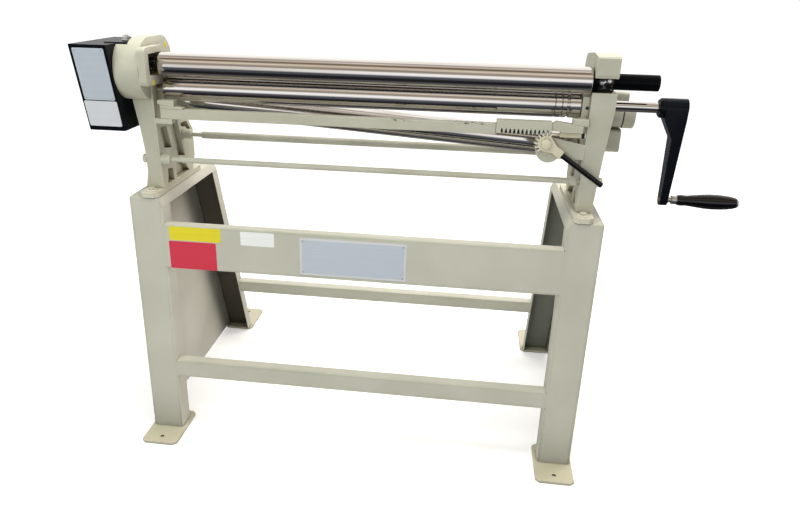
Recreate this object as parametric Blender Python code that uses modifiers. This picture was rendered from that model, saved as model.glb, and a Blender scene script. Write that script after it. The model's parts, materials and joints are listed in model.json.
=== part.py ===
"""Hand slip roll on a folded-steel stand.

Three long rolls lie between two cast frames.  The front pair pinches the sheet and is geared
together on the left, the rear roll bends it.  A lever with a toothed head slides a wedge bar
that lifts or drops the lower roll, and a crank on the right turns the pair.

Axes: X runs along the rolls (crank at +X), Y from the operator to the back, Z up from the floor.
All the pieces are laid out from the middle of the stand's front edge and then moved together so
that the origin is under the middle of the whole machine.
"""

import math

import bmesh
import bpy
from mathutils import Matrix, Vector

# Stand: two folded sheet sides, three rails and four foot plates
stand_height = 0.737
stand_depth_top = 0.429
stand_depth_floor = 0.717
sheet = 0.003
leg_face_width = 0.0905
top_face_width = 0.0805
top_slope_drop = 0.027
front_lip_depth = 0.057
rear_lip_depth = 0.045
upper_rail_height = 0.128
upper_rail_drop = 0.074
upper_rail_lip = 0.030
lower_rail_height = 0.0535
lower_rail_floor = 0.187
lower_rail_lip = 0.033
rear_rail_height = 0.041
rear_rail_floor = 0.205
rear_rail_lip = 0.035
foot_plate_width = 0.107
foot_plate_length = 0.172
foot_plate_thickness = 0.008
foot_plate_side_reach = 0.006
foot_plate_front_reach = 0.085
foot_plate_rear_reach = 0.130
foot_plate_corner = 0.011
foot_hole_diameter = 0.012
foot_hole_inset = 0.030

# Clearances
seat_gap = 0.0003
cut_overrun = 0.002

# Rolls
roll_diameter = 0.065
frame_span = 1.077
right_frame_inset = 0.068
left_frame_inset = 0.105
top_roll_rise = 0.3416
top_roll_back = 0.0505
lower_roll_setback = 0.027
roll_edge_chamfer = 0.002
top_roll_end_gap = 0.003
top_roll_left_journal_diameter = 0.033
lower_roll_left_gap = -0.003
lower_roll_right_gap = 0.0185
lower_shaft_diameter = 0.026
wire_groove_depth = 0.003
wire_groove_widths = (0.0065, 0.0030, 0.0030)
wire_groove_reach = 0.0275
wire_groove_step = 0.0165
handle_journal_diameter = 0.050
handle_journal_length = 0.051
handle_diameter = 0.038
handle_length = 0.1045
handle_core_diameter = 0.024
handle_core_length = 0.140

# Drive gears under the cover
gear_module = 0.0035
gear_teeth = 19
gear_width = 0.022
gear_pressure_angle = math.radians(20)
gear_addendum_share = 0.8
gear_dedendum_share = 1.25
gear_tooth_share = 0.414
gear_cover_clearance = 0.020
gear_hub_diameter = 0.040
gear_hub_length = 0.006

# Left head casting
head_width = 0.067
drum_radius = 0.078
drum_drop = 0.0106
head_rear_radius = 0.060
head_rear_setback = 0.075
head_shelf_length = 0.030
boss_depth = 0.030
boss_face_inset = 0.010
boss_front = 0.075
boss_back = 0.036
boss_half_height = 0.047
boss_corner = 0.014
boss_fillet = 0.010
window_forward = 0.054
window_back = 0.0245
window_low = 0.0240
window_high = 0.0310
window_depth = 0.050
bush_outer_radius = 0.030
bush_width = 0.027
bush_inset = 0.0675
bush_pocket_depth = 0.021
column_inset = 0.0235
rear_pivot_inset = 0.051
left_foot_inset = 0.033
column_width = 0.058

# Right frame casting
right_frame_width = 0.058
hook_lug_width = 0.026

# Both frames, seen from the side
frame_depth = 0.300
frame_foot_thickness = 0.0137
frame_foot_front = 0.005
frame_foot_length = 0.335
frame_foot_inner_reach = 0.010
frame_foot_width = 0.050
frame_bolt_inset = 0.026
frame_bolt_head_width = 0.019
frame_bolt_head_height = 0.008
frame_side_shares = (
    (0.160, 0.000), (0.152, 0.080), (0.100, 0.879), (0.100, 1.000), (0.690, 1.000),
    (0.715, 0.640), (0.817, 0.545), (0.940, 0.420), (0.945, 0.170), (0.860, 0.075),
    (0.880, 0.000),
)
frame_window_shares = (
    (0.647, 0.521), (0.793, 0.521), (0.880, 0.432), (0.833, 0.423), (0.740, 0.477),
    (0.660, 0.483),
)
frame_pocket_shares = (
    ((0.173, 0.562), (0.323, 0.562), (0.407, 0.350), (0.237, 0.376)),
    ((0.383, 0.558), (0.583, 0.572), (0.697, 0.216), (0.521, 0.255)),
    ((0.460, 0.205), (0.655, 0.180), (0.780, 0.062), (0.460, 0.062)),
    ((0.284, 0.190), (0.394, 0.170), (0.404, 0.062), (0.262, 0.062)),
)
frame_pocket_depth = 0.016
column_outer_shares = (
    (0.000, 0.880), (0.098, 0.790), (0.160, 0.720), (0.199, 0.690), (0.360, 0.690),
    (0.569, 0.790), (0.790, 0.960), (1.000, 1.000),
)
right_outer_shares = (
    (0.000, 0.690), (0.149, 0.707), (0.383, 0.776), (0.531, 0.828), (0.737, 0.931),
    (0.879, 1.000), (1.000, 1.000),
)

# Hook over the right journal
hook_width = 0.053
hook_front_reach = 0.041
hook_nose_rise = 0.0105
hook_top_rise = 0.060
hook_pin_setback = 0.1145
hook_pin_rise = 0.020
hook_barrel_radius = 0.036
hook_pin_diameter = 0.014
hook_side_gap = 0.0015
hook_corner = 0.008

# Crank
crank_shaft_reach = 0.123
crank_hub_length = 0.052
crank_hub_diameter = 0.048
crank_collar_length = 0.014
crank_collar_diameter = 0.048
crank_radius = 0.228
crank_end_thickness = 0.018
crank_neck_thickness = 0.028
crank_end_width = 0.030
crank_root_share = 1.05
crank_waist_share = 3.0
grip_length = 0.150
grip_max_diameter = 0.038
grip_spindle_diameter = 0.010
spindle_neck_share = 1.4
grip_collar_length = 0.0125
grip_collar_diameter = 0.022
grip_washer_thickness = 0.003
grip_washer_diameter = 0.022
grip_profile_shares = (
    (1.000, 0.30), (0.985, 0.50), (0.940, 0.62), (0.860, 0.66), (0.740, 0.80), (0.600, 0.96),
    (0.500, 1.00), (0.380, 0.95), (0.240, 0.80), (0.120, 0.66), (0.040, 0.62), (0.000, 0.56),
)

# Pinch adjustment: wedge bar, rack, toothed lever
bar_front = 0.022
bar_thickness = 0.023
bar_height = 0.0256
bar_floor = 0.209
bar_left_gap = 0.0035
rack_start_inset = 0.219
rack_length = 0.133
rack_top_rise = 0.0100
tooth_pitch = 0.010
tooth_addendum = 0.0040
tooth_dedendum = 0.0050
rack_slot_extra = 0.0030
tooth_angle = math.radians(20)
rack_teeth = 12
pinion_teeth = 16
pinion_share_of_pitch = 0.42
rack_share_of_pitch = 0.42
lever_pivot_inset = 0.095
lever_head_thickness = 0.014
lever_head_front = 0.020
lever_rest_angle = math.radians(-34)
lever_socket_length = 0.048
lever_socket_width = 0.020
lever_grip_length = 0.128
lever_grip_diameter = 0.0145
lever_grip_sides = 8
lever_bolt_diameter = 0.010
lever_bolt_head_width = 0.020
lever_bolt_head_height = 0.008
wedge_slope = 0.125
wedge_pad_length = 0.0600
wedge_pad_right_length = 0.0750
wedge_pad_height = 0.0105
wedge_end_height = 0.027
wedge_relief_height = 0.0030
wedge_relief_length = 0.0200
carriage_block_length = 0.0200
carriage_left_front = 0.062
carriage_toe_start = 0.0150
carriage_toe_length = 0.0430
carriage_toe_height = 0.010
carriage_block_back = 0.108
carriage_right_length = 0.0170
carriage_right_foot = 0.0365
carriage_right_rise = 0.024
carriage_foot_height = 0.013
bracket_thickness = 0.010
bracket_height = 0.036
bracket_drop = 0.020
bracket_lobe_radius = 0.031
bracket_lobe_drop = 0.0185
bracket_lobe_aside = 0.008
guide_length = 0.050
guide_height = 0.013

# Tie rods
front_tie_diameter = 0.015
front_tie_back = 0.050
front_tie_rise = 0.095
rear_tie_diameter = 0.020
rear_tie_back = 0.205
rear_tie_rise = 0.132
tie_collar_length = 0.026
tie_collar_diameter = 0.026
tie_neck_length = 0.032
tie_neck_diameter = 0.012
tie_nut_length = 0.0145
tie_nut_diameter = 0.024
tie_stub_length = 0.009
tie_bolt_head_width = 0.024
tie_bolt_head_height = 0.010

# Rear roll and its height adjustment
rear_roll_back = 0.155
rear_roll_left_drop = 0.0991
rear_roll_tilt = math.radians(3.9)
rear_block_height = 0.045
rear_block_width = 0.044
rear_block_length = 0.033
rear_bush_radius = 0.0195
rear_journal_diameter = 0.026
rear_journal_end_clearance = 0.002
rear_roll_end_gap = 0.005
rear_lift_down = 0.010
rear_lift_up = 0.035
rear_pocket_depth = 0.036
rear_knob_radius = 0.033
rear_knob_drop = 0.094
rear_knob_length = 0.057
rear_knob_standoff = 0.014
rear_knob_groove = 0.003
rear_knob_cap_length = 0.028
rear_knob_shaft_diameter = 0.016
rear_housing_length = 0.043
rear_housing_height = 0.060
rear_housing_width = 0.050
rear_housing_drop = 0.158
rear_housing_corner = 0.014
frame_lug_length = 0.051
frame_lug_height = 0.024
frame_lug_width = 0.036

# Gear cover
cover_width = 0.097
cover_wall = 0.003
cover_height = 0.220
cover_top_rise = 0.395
cover_front_top = 0.050
cover_front_bottom = 0.005
cover_back = 0.190
cover_hole_radius = 0.042
oiler_diameter = 0.026
oiler_height = 0.0155
oiler_back = 0.0535
oiler_side = 0.0066
tongue_left_reach = 0.033
tongue_front = 0.009
tongue_back = 0.081
tongue_drop = 0.002
tongue_rise = 0.0025

# Facet counts
roll_steps = 36
small_steps = 24
bolt_steps = 16

# Derived places
half_width = (frame_span + left_frame_inset + right_frame_inset) / 2
floor_of_legs = foot_plate_thickness + seat_gap
right_face = half_width - right_frame_inset
left_face = right_face - frame_span
top_roll_z = stand_height + top_roll_rise
top_roll_y = top_roll_back
gear_pitch_diameter = gear_module * gear_teeth
lower_roll_y = top_roll_y + lower_roll_setback
lower_roll_z = top_roll_z - math.sqrt(gear_pitch_diameter ** 2 - lower_roll_setback ** 2)
roll_radius = roll_diameter / 2
frame_floor = stand_height + seat_gap
seat_z = top_roll_z - handle_journal_diameter / 2 - seat_gap
column_inner = left_face - column_inset
column_outer = column_inner - column_width
drum_outer = left_face - boss_depth - head_width + cut_overrun
right_outer = right_face + right_frame_width


def rear_edge(z):
    """Y of the stand's sloping rear edge at height z."""
    return stand_depth_floor + (stand_depth_top - stand_depth_floor) * z / stand_height


# Collections and materials
for old in list(bpy.data.objects):
    bpy.data.objects.remove(old, do_unlink=True)

machine = bpy.data.collections.new("slip_roll")
bpy.context.scene.collection.children.link(machine)
cutters = bpy.data.collections.new("slip_roll_cutters")
bpy.context.scene.collection.children.link(cutters)


def material(name, colour, roughness, metallic):
    mat = bpy.data.materials.new(name)
    mat.use_nodes = True
    shader = mat.node_tree.nodes["Principled BSDF"]
    shader.inputs["Base Color"].default_value = (*colour, 1)
    shader.inputs["Roughness"].default_value = roughness
    shader.inputs["Metallic"].default_value = metallic
    mat.diffuse_color = (*colour, 1)
    return mat


PAINT = ((0.52, 0.52, 0.43), 0.45, 0.0)
STEEL = ((0.55, 0.55, 0.54), 0.22, 1.0)
ZINC = ((0.62, 0.62, 0.60), 0.35, 1.0)
BLACK = ((0.012, 0.014, 0.018), 0.35, 0.0)
GRIP = ((0.010, 0.010, 0.010), 0.30, 0.0)
BRONZE = ((0.45, 0.30, 0.14), 0.35, 1.0)


def keep(obj, look=None):
    """Put an object in the machine with its own material, or with the cutters."""
    for owner in list(obj.users_collection):
        owner.objects.unlink(obj)
    if look is None:
        cutters.objects.link(obj)
        obj.hide_render = True
        obj.display_type = "WIRE"
    else:
        machine.objects.link(obj)
        obj.data.materials.clear()
        obj.data.materials.append(material(obj.name + "_finish", *look))
    return obj


def shade(mesh):
    mesh.shade_smooth()
    mesh.set_sharp_from_angle(angle=math.radians(35))


def from_bmesh(name, bm, look=None):
    mesh = bpy.data.meshes.new(name)
    bm.to_mesh(mesh)
    bm.free()
    shade(mesh)
    obj = bpy.data.objects.new(name, mesh)
    bpy.context.scene.collection.objects.link(obj)
    return keep(obj, look)


def box(name, x, y, z, look=None):
    """Box between the given pairs of bounds."""
    bm = bmesh.new()
    bmesh.ops.create_cube(bm, size=1)
    low = Vector((min(x), min(y), min(z)))
    high = Vector((max(x), max(y), max(z)))
    bmesh.ops.scale(bm, vec=high - low, verts=bm.verts)
    bmesh.ops.translate(bm, vec=(low + high) / 2, verts=bm.verts)
    return from_bmesh(name, bm, look)


TURN = {
    "X": Matrix.Rotation(math.pi / 2, 4, "Y"),
    "Y": Matrix.Rotation(-math.pi / 2, 4, "X"),
    "Z": Matrix.Identity(4),
}


def rod(name, axis, centre, radius, span, look=None, steps=small_steps, turn=0):
    """Cylinder along an axis, between two places on it."""
    bm = bmesh.new()
    bmesh.ops.create_cone(bm, cap_ends=True, segments=steps, radius1=radius, radius2=radius,
                          depth=abs(span[1] - span[0]))
    bmesh.ops.rotate(bm, verts=bm.verts, cent=(0, 0, 0), matrix=Matrix.Rotation(turn, 3, "Z"))
    bmesh.ops.transform(bm, matrix=TURN[axis], verts=bm.verts)
    middle = Vector(centre)
    middle["XYZ".index(axis)] = (span[0] + span[1]) / 2
    bmesh.ops.translate(bm, vec=middle, verts=bm.verts)
    return from_bmesh(name, bm, look)


def turned(name, axis, centre, profile, look=None, steps=small_steps, ring=False):
    """Screw a profile of (place along the axis, radius), from the high end to the low end."""
    points = []
    for along, radius in profile:
        points.append({"X": (along, radius, 0), "Y": (0, along, radius), "Z": (radius, 0, along)}[axis])
    edges = [(i, i + 1) for i in range(len(points) - 1)]
    if ring:
        edges.append((len(points) - 1, 0))
    mesh = bpy.data.meshes.new(name)
    mesh.from_pydata(points, edges, [])
    obj = bpy.data.objects.new(name, mesh)
    bpy.context.scene.collection.objects.link(obj)
    obj.location = centre
    screw = obj.modifiers.new("Turn", "SCREW")
    screw.axis = axis
    screw.angle = math.tau
    screw.steps = screw.render_steps = steps
    screw.use_merge_vertices = True
    screw.merge_threshold = 0.00001
    screw.use_smooth_shade = True
    screw.use_normal_calculate = False
    return keep(solid(obj), look)


def solid(obj):
    """The evaluated shape as a welded mesh object, in world space."""
    graph = bpy.context.evaluated_depsgraph_get()
    mesh = bpy.data.meshes.new_from_object(obj.evaluated_get(graph))
    mesh.transform(obj.matrix_world if obj.parent else obj.matrix_basis)
    bm = bmesh.new()
    bm.from_mesh(mesh)
    bmesh.ops.remove_doubles(bm, verts=bm.verts, dist=0.000001)
    bm.to_mesh(mesh)
    bm.free()
    mesh.name = obj.name
    shade(mesh)
    name = obj.name
    bpy.data.objects.remove(obj, do_unlink=True)
    made = bpy.data.objects.new(name, mesh)
    bpy.context.scene.collection.objects.link(made)
    return made


FLAT = {
    # outline (a, b) to world, and the extrusion to the named axis
    "X": Matrix(((0, 0, 1, 0), (1, 0, 0, 0), (0, 1, 0, 0), (0, 0, 0, 1))),
    "Y": Matrix(((1, 0, 0, 0), (0, 0, -1, 0), (0, 1, 0, 0), (0, 0, 0, 1))),
    "Z": Matrix.Identity(4),
}


def slab(name, axis, outline, span, look=None):
    """Flat outline of (Y, Z), (X, Z) or (X, Y) places, extruded along the named axis."""
    curve = bpy.data.curves.new(name, "CURVE")
    curve.dimensions = "2D"
    curve.fill_mode = "BOTH"
    curve.extrude = abs(span[1] - span[0]) / 2
    spline = curve.splines.new("POLY")
    spline.points.add(len(outline) - 1)
    for point, (a, b) in zip(spline.points, outline):
        point.co = (a, b, 0, 1)
    spline.use_cyclic_u = True
    obj = bpy.data.objects.new(name, curve)
    bpy.context.scene.collection.objects.link(obj)
    middle = Vector((0, 0, 0))
    middle["XYZ".index(axis)] = (span[0] + span[1]) / 2
    obj.matrix_basis = Matrix.Translation(middle) @ FLAT[axis]
    return keep(solid(obj), look)


def boolean(target, tool, operation):
    step = target.modifiers.new(operation.title(), "BOOLEAN")
    step.operation = operation
    step.solver = "EXACT"
    step.object = tool
    tool["shapes"] = target.name
    return target


def cut(target, *tools):
    for tool in tools:
        boolean(target, tool, "DIFFERENCE")
    return target


def fuse(target, *tools):
    for tool in tools:
        boolean(target, tool, "UNION")
    return target


def meet(target, *tools):
    for tool in tools:
        boolean(target, tool, "INTERSECT")
    return target


def arc(centre, radius, start, end, steps):
    """Places on an arc, both ends included, angles in radians."""
    return [
        (centre[0] + radius * math.cos(start + (end - start) * i / steps),
         centre[1] + radius * math.sin(start + (end - start) * i / steps))
        for i in range(steps + 1)
    ]


def chamfered(a, b, corner):
    """Rectangle outline between bounds a and b with its corners cut."""
    return [
        (a[0] + corner, b[0]), (a[1] - corner, b[0]), (a[1], b[0] + corner), (a[1], b[1] - corner),
        (a[1] - corner, b[1]), (a[0] + corner, b[1]), (a[0], b[1] - corner), (a[0], b[0] + corner),
    ]


def rounded(a, b, radius, steps=4):
    """Rectangle outline between bounds a and b with round corners."""
    quarter = math.pi / 2
    corners = ((a[1], b[1], 0), (a[0], b[1], 1), (a[0], b[0], 2), (a[1], b[0], 3))
    points = []
    for u, v, turn in corners:
        cu = u - math.copysign(radius, u - sum(a) / 2)
        cv = v - math.copysign(radius, v - sum(b) / 2)
        points += arc((cu, cv), radius, turn * quarter, (turn + 1) * quarter, steps)
    return points


# Stand
def stand_side(name, side):
    """Folded side: outer web, front and rear faces, sloped top inner edge and return lips."""
    def prism(label, inset, low, look=None):
        outer = half_width - inset
        inner = half_width - leg_face_width + inset
        shoulder = half_width - top_face_width
        outline = [(outer, low), (outer, stand_height - inset), (shoulder, stand_height - inset),
                   (inner, stand_height - top_slope_drop), (inner, low)]
        outline = [(side * x, z) for x, z in outline]
        made = slab(label, "Y", outline, (inset, stand_depth_floor), look)
        for vertex in made.data.vertices:
            if vertex.co.y > stand_depth_floor / 2:
                vertex.co.y = rear_edge(vertex.co.z) - inset
        return made

    def window():
        low = floor_of_legs - cut_overrun
        high = stand_height - top_slope_drop - cut_overrun
        outline = [(front_lip_depth, low), (rear_edge(low) - rear_lip_depth, low),
                   (rear_edge(high) - rear_lip_depth, high), (front_lip_depth, high)]
        edge = half_width - leg_face_width
        return slab(name + "_window", "X", outline,
                    (side * (edge - cut_overrun), side * (edge + sheet + cut_overrun)))

    made = prism(name, 0, floor_of_legs, PAINT)
    return cut(made, prism(name + "_inside", sheet, floor_of_legs - cut_overrun), window())


stand_side_left = stand_side("stand_side_left", -1)
stand_side_right = stand_side("stand_side_right", 1)


def channel(name, front, low, height, lip, half_length):
    """Folded rail: a front face with a lip at its top and bottom."""
    outline = [
        (front, low), (front + lip, low), (front + lip, low + sheet), (front + sheet, low + sheet),
        (front + sheet, low + height - sheet), (front + lip, low + height - sheet),
        (front + lip, low + height), (front, low + height),
    ]
    return slab(name, "X", outline, (-half_length, half_length), PAINT)


rail_half = half_width - leg_face_width - seat_gap
upper_rail_low = stand_height - upper_rail_drop - upper_rail_height
upper_front_rail = channel("upper_front_rail", 0, upper_rail_low, upper_rail_height,
                           upper_rail_lip, rail_half)
lower_front_rail = channel("lower_front_rail", 0, lower_rail_floor, lower_rail_height,
                           lower_rail_lip, rail_half)
rear_rail_top_edge = rear_edge(rear_rail_floor + rear_rail_height)
rear_rail = channel("rear_rail", rear_rail_top_edge - rear_rail_lip, rear_rail_floor,
                    rear_rail_height, rear_rail_lip, rail_half)


def foot_plate(name, side, front):
    outer = half_width + foot_plate_side_reach
    x = sorted((side * outer, side * (outer - foot_plate_width)))
    y = (front, front + foot_plate_length)
    made = slab(name, "Z", chamfered(x, y, foot_plate_corner), (0, foot_plate_thickness), PAINT)
    hole_y = y[0] + foot_hole_inset if front < 0 else y[1] - foot_hole_inset
    hole = rod(name + "_hole", "Z", (sum(x) / 2, hole_y, 0), foot_hole_diameter / 2,
               (-cut_overrun, foot_plate_thickness + cut_overrun), steps=bolt_steps)
    return cut(made, hole)


front_foot = -foot_plate_front_reach
rear_foot = stand_depth_floor + foot_plate_rear_reach - foot_plate_length
foot_front_left = foot_plate("foot_front_left", -1, front_foot)
foot_front_right = foot_plate("foot_front_right", 1, front_foot)
foot_rear_left = foot_plate("foot_rear_left", -1, rear_foot)
foot_rear_right = foot_plate("foot_rear_right", 1, rear_foot)

# Frame castings
frame_height = seat_z - frame_floor


def frame_yz(shares):
    return [(frame_depth * a, frame_floor + frame_height * b) for a, b in shares]


def frame_xz(inner, width, shares):
    """Front outline: straight inner side, outer side from shares of the width."""
    inside = [(inner, frame_floor), (inner, seat_z)]
    outside = [(inner + width * b, frame_floor + frame_height * a) for a, b in reversed(shares)]
    return inside + outside


def outer_edge(inner, width, shares, z):
    """X of a casting's outer face at height z."""
    share = (z - frame_floor) / frame_height
    for (low, near), (high, far) in zip(shares, shares[1:]):
        if low <= share <= high:
            return inner + width * (near + (far - near) * (share - low) / (high - low))
    return inner + width


def casting(name, inner, width, shares, foot_inner):
    """Frame column and rear leg: the side view's outline met with the front view's."""
    side = math.copysign(1, width)
    far = (inner - side * cut_overrun, inner + width + side * cut_overrun)
    body = slab(name, "X", frame_yz(frame_side_shares), far, PAINT)
    front = slab(name + "_front_view", "Y", frame_xz(inner, width, shares),
                 (0, frame_depth))
    meet(body, front)
    pocket_span = sorted((inner - side * cut_overrun, inner + side * frame_pocket_depth))
    cut(body, slab(name + "_leg_window", "X", frame_yz(frame_window_shares), far),
        *(slab(f"{name}_pocket_{i}", "X", frame_yz(shares), pocket_span)
          for i, shares in enumerate(frame_pocket_shares)))
    foot_x = sorted((foot_inner - side * frame_foot_inner_reach,
                     foot_inner + side * (frame_foot_width - frame_foot_inner_reach)))
    foot = slab(name + "_foot", "Z",
                chamfered(foot_x, (-frame_foot_front, frame_foot_length - frame_foot_front),
                          foot_plate_corner),
                (frame_floor, frame_floor + frame_foot_thickness))
    return fuse(body, foot)


# Slots for the lower roll's shaft and pockets for the rear roll's blocks
pinion_pitch_radius = tooth_pitch * pinion_teeth / math.tau
lever_range = (math.radians(-20), math.radians(40))
carriage_up = -lever_range[0] * pinion_pitch_radius * wedge_slope
carriage_down = lever_range[1] * pinion_pitch_radius * wedge_slope
shaft_slot_margin = 0.0012
shaft_slot_half = lower_shaft_diameter / 2 + shaft_slot_margin


def shaft_slot(name, span):
    """Upright slot that the lower roll's shaft rises and falls in."""
    low = lower_roll_z - carriage_down - shaft_slot_margin
    high = lower_roll_z + carriage_up + shaft_slot_margin
    outline = (arc((lower_roll_y, high), shaft_slot_half, 0, math.pi, bolt_steps)
               + arc((lower_roll_y, low), shaft_slot_half, math.pi, math.tau, bolt_steps))
    return slab(name, "X", outline, span)


rear_left_z = top_roll_z - rear_roll_left_drop
rear_pivot_x = left_face - rear_pivot_inset
rear_right_x = right_face + rear_pocket_depth / 2
rear_span = (rear_right_x - rear_pivot_x) / math.cos(rear_roll_tilt)
rear_right_z = rear_left_z - (rear_right_x - rear_pivot_x) * math.tan(rear_roll_tilt)


def rear_pocket(name, span, low_centre):
    half = rear_block_width / 2 + seat_gap
    top = rear_left_z + rear_lift_up + rear_block_height / 2 + shaft_slot_margin
    low = low_centre - rear_lift_down - rear_block_height / 2 - shaft_slot_margin
    return box(name, span, (rear_roll_back - half, rear_roll_back + half), (low, top))


left_head = casting("left_head_casting", column_inner, -column_width, column_outer_shares,
                    left_face - left_foot_inset)
drum_y, drum_z = top_roll_y, top_roll_z - drum_drop
drum_top = drum_z + drum_radius
rear_z = drum_top - head_rear_radius
rear_y = drum_y + head_rear_setback
drum_outline = (arc((rear_y, rear_z), head_rear_radius, -math.pi / 2, math.pi / 2, bolt_steps)
                + arc((drum_y, drum_z), drum_radius, math.pi / 2, math.pi * 1.5, small_steps))
drum_inner = left_face - boss_depth
head = slab("left_head_drum", "X", drum_outline, (drum_outer, drum_inner))
head_bevel = head.modifiers.new("Edges", "BEVEL")
head_bevel.width = boss_fillet / 2
head_bevel.segments = 2
head_bevel.limit_method = "ANGLE"
head_bevel.angle_limit = math.radians(60)
boss = slab("left_head_boss", "X",
            rounded((top_roll_y - boss_front, top_roll_y + boss_back),
                    (top_roll_z - boss_half_height, top_roll_z + boss_half_height), boss_corner, 6),
            (drum_inner - cut_overrun, left_face - boss_face_inset))
boss_bevel = boss.modifiers.new("Edges", "BEVEL")
boss_bevel.width = boss_fillet
boss_bevel.segments = 3
boss_bevel.limit_method = "ANGLE"
boss_bevel.angle_limit = math.radians(60)
fuse(left_head, head, boss)
cover_right = drum_outer - seat_gap
cover_top = stand_height + cover_top_rise
shelf_right = drum_outer + head_shelf_length
cut(left_head,
    box("left_head_shelf", (drum_outer - cut_overrun, shelf_right),
        (drum_y - drum_radius - cut_overrun, rear_y + head_rear_radius + cut_overrun),
        (cover_top - tongue_drop - seat_gap, drum_top + cut_overrun)))
window_y = (top_roll_y - window_forward, top_roll_y + window_back)
window_z = (top_roll_z - window_low, top_roll_z + window_high)
cut(left_head,
    box("left_head_window", (left_face + cut_overrun, left_face - window_depth), window_y, window_z))
bush_x = left_face - bush_inset
bush_pocket_end = bush_x - bush_pocket_depth
cut(left_head,
    rod("left_head_bush_pocket", "X", (0, top_roll_y, top_roll_z), bush_outer_radius + seat_gap,
        (bush_pocket_end, left_face - window_depth + cut_overrun), steps=roll_steps),
    rod("left_head_gear_bore", "X", (0, top_roll_y, top_roll_z),
        top_roll_left_journal_diameter / 2 + seat_gap,
        (drum_outer - cut_overrun, bush_pocket_end + cut_overrun), steps=small_steps),
    shaft_slot("left_head_shaft_slot", (drum_outer - cut_overrun, left_face + cut_overrun)),
    rear_pocket("left_head_rear_pocket",
                (column_inner + cut_overrun, rear_pivot_x - rear_pocket_depth / 2), rear_left_z))

right_frame = casting("right_frame_casting", right_face, right_frame_width, right_outer_shares,
                      right_face)
hook_pin_y = top_roll_y + hook_pin_setback
hook_pin_z = top_roll_z + hook_pin_rise
hook_middle_x = right_face + right_frame_width / 2
lug_x = (hook_middle_x - hook_lug_width / 2, hook_middle_x + hook_lug_width / 2)
lug_radius = hook_pin_diameter * 1.3
lug_outline = arc((hook_pin_y, hook_pin_z), lug_radius, 0, math.pi, bolt_steps) + [
    (hook_pin_y - lug_radius, seat_z - frame_foot_thickness),
    (hook_pin_y + lug_radius, seat_z - frame_foot_thickness)]
fuse(right_frame, slab("right_frame_hook_lug", "X", lug_outline, lug_x))
lug_low = top_roll_z - rear_knob_drop + rear_knob_radius + cut_overrun / 2
fuse(right_frame,
     slab("right_frame_rear_lug", "X",
          rounded((rear_roll_back - frame_lug_width / 2, rear_roll_back + frame_lug_width / 2),
                  (lug_low, lug_low + frame_lug_height), frame_lug_height / 4),
          (right_outer - frame_foot_thickness, right_outer + frame_lug_length)))
cut(right_frame,
    rod("right_frame_pin_hole", "X", (0, hook_pin_y, hook_pin_z), hook_pin_diameter / 2 + seat_gap,
        (lug_x[0] - cut_overrun, lug_x[1] + cut_overrun), steps=small_steps),
    shaft_slot("right_frame_shaft_slot", (right_face - cut_overrun, right_outer + cut_overrun)),
    rear_pocket("right_frame_rear_pocket",
                (right_face - cut_overrun, right_face + rear_pocket_depth), rear_right_z))

# Foot bolts of the castings
foot_top = frame_floor + frame_foot_thickness + seat_gap
frame_bolts = []
for word, x, side in (("left", left_face - left_foot_inset, -1), ("right", right_face, 1)):
    bolt_x = x + side * (frame_foot_width / 2 - frame_foot_inner_reach)
    for end, bolt_y in (("front", -frame_foot_front + frame_bolt_inset),
                        ("rear", frame_foot_length - frame_foot_front - frame_bolt_inset)):
        frame_bolts.append(rod(f"frame_bolt_{end}_{word}", "Z", (bolt_x, bolt_y, 0),
                               frame_bolt_head_width / 2,
                               (foot_top, foot_top + frame_bolt_head_height), ZINC, steps=6))

# Top roll, its self-aligning bush and the black handle
top_centre = (0, top_roll_y, top_roll_z)
top_left = left_face
top_right = right_face - top_roll_end_gap
journal_end = bush_x - bush_width / 2
chamfer = roll_edge_chamfer
left_journal = top_roll_left_journal_diameter / 2
core = handle_core_diameter / 2
top_roll = turned("top_roll", "X", top_centre, [
    (top_right + handle_core_length, 0), (top_right + handle_core_length, core),
    (top_right, core), (top_right, roll_radius - chamfer), (top_right - chamfer, roll_radius),
    (top_left + chamfer, roll_radius), (top_left, roll_radius - chamfer),
    (top_left, left_journal), (journal_end, left_journal), (journal_end, 0),
], STEEL, roll_steps)

bush_face = math.sqrt(bush_outer_radius ** 2 - (bush_width / 2) ** 2)
bush_half_angle = math.asin(bush_width / 2 / bush_outer_radius)
bush_profile = [(bush_outer_radius * math.sin(bush_half_angle * (1 - i / 4)),
                 bush_outer_radius * math.cos(bush_half_angle * (1 - i / 4))) for i in range(9)]
bush_bore = left_journal + seat_gap
top_roll_bush = turned("top_roll_bush", "X", (bush_x, top_roll_y, top_roll_z),
                       bush_profile + [(-bush_width / 2, bush_bore), (bush_width / 2, bush_bore)],
                       BRONZE, small_steps, ring=True)

handle_start = top_right + seat_gap
handle_step = handle_start + handle_journal_length
handle_end = handle_step + handle_length
roll_handle = turned("roll_handle", "X", top_centre, [
    (handle_end, core + seat_gap), (handle_end, handle_diameter / 2 - chamfer),
    (handle_end - chamfer, handle_diameter / 2), (handle_step, handle_diameter / 2),
    (handle_step, handle_journal_diameter / 2 - chamfer / 2),
    (handle_step - chamfer / 2, handle_journal_diameter / 2),
    (handle_start, handle_journal_diameter / 2), (handle_start, core + seat_gap),
], BLACK, roll_steps, ring=True)

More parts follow.
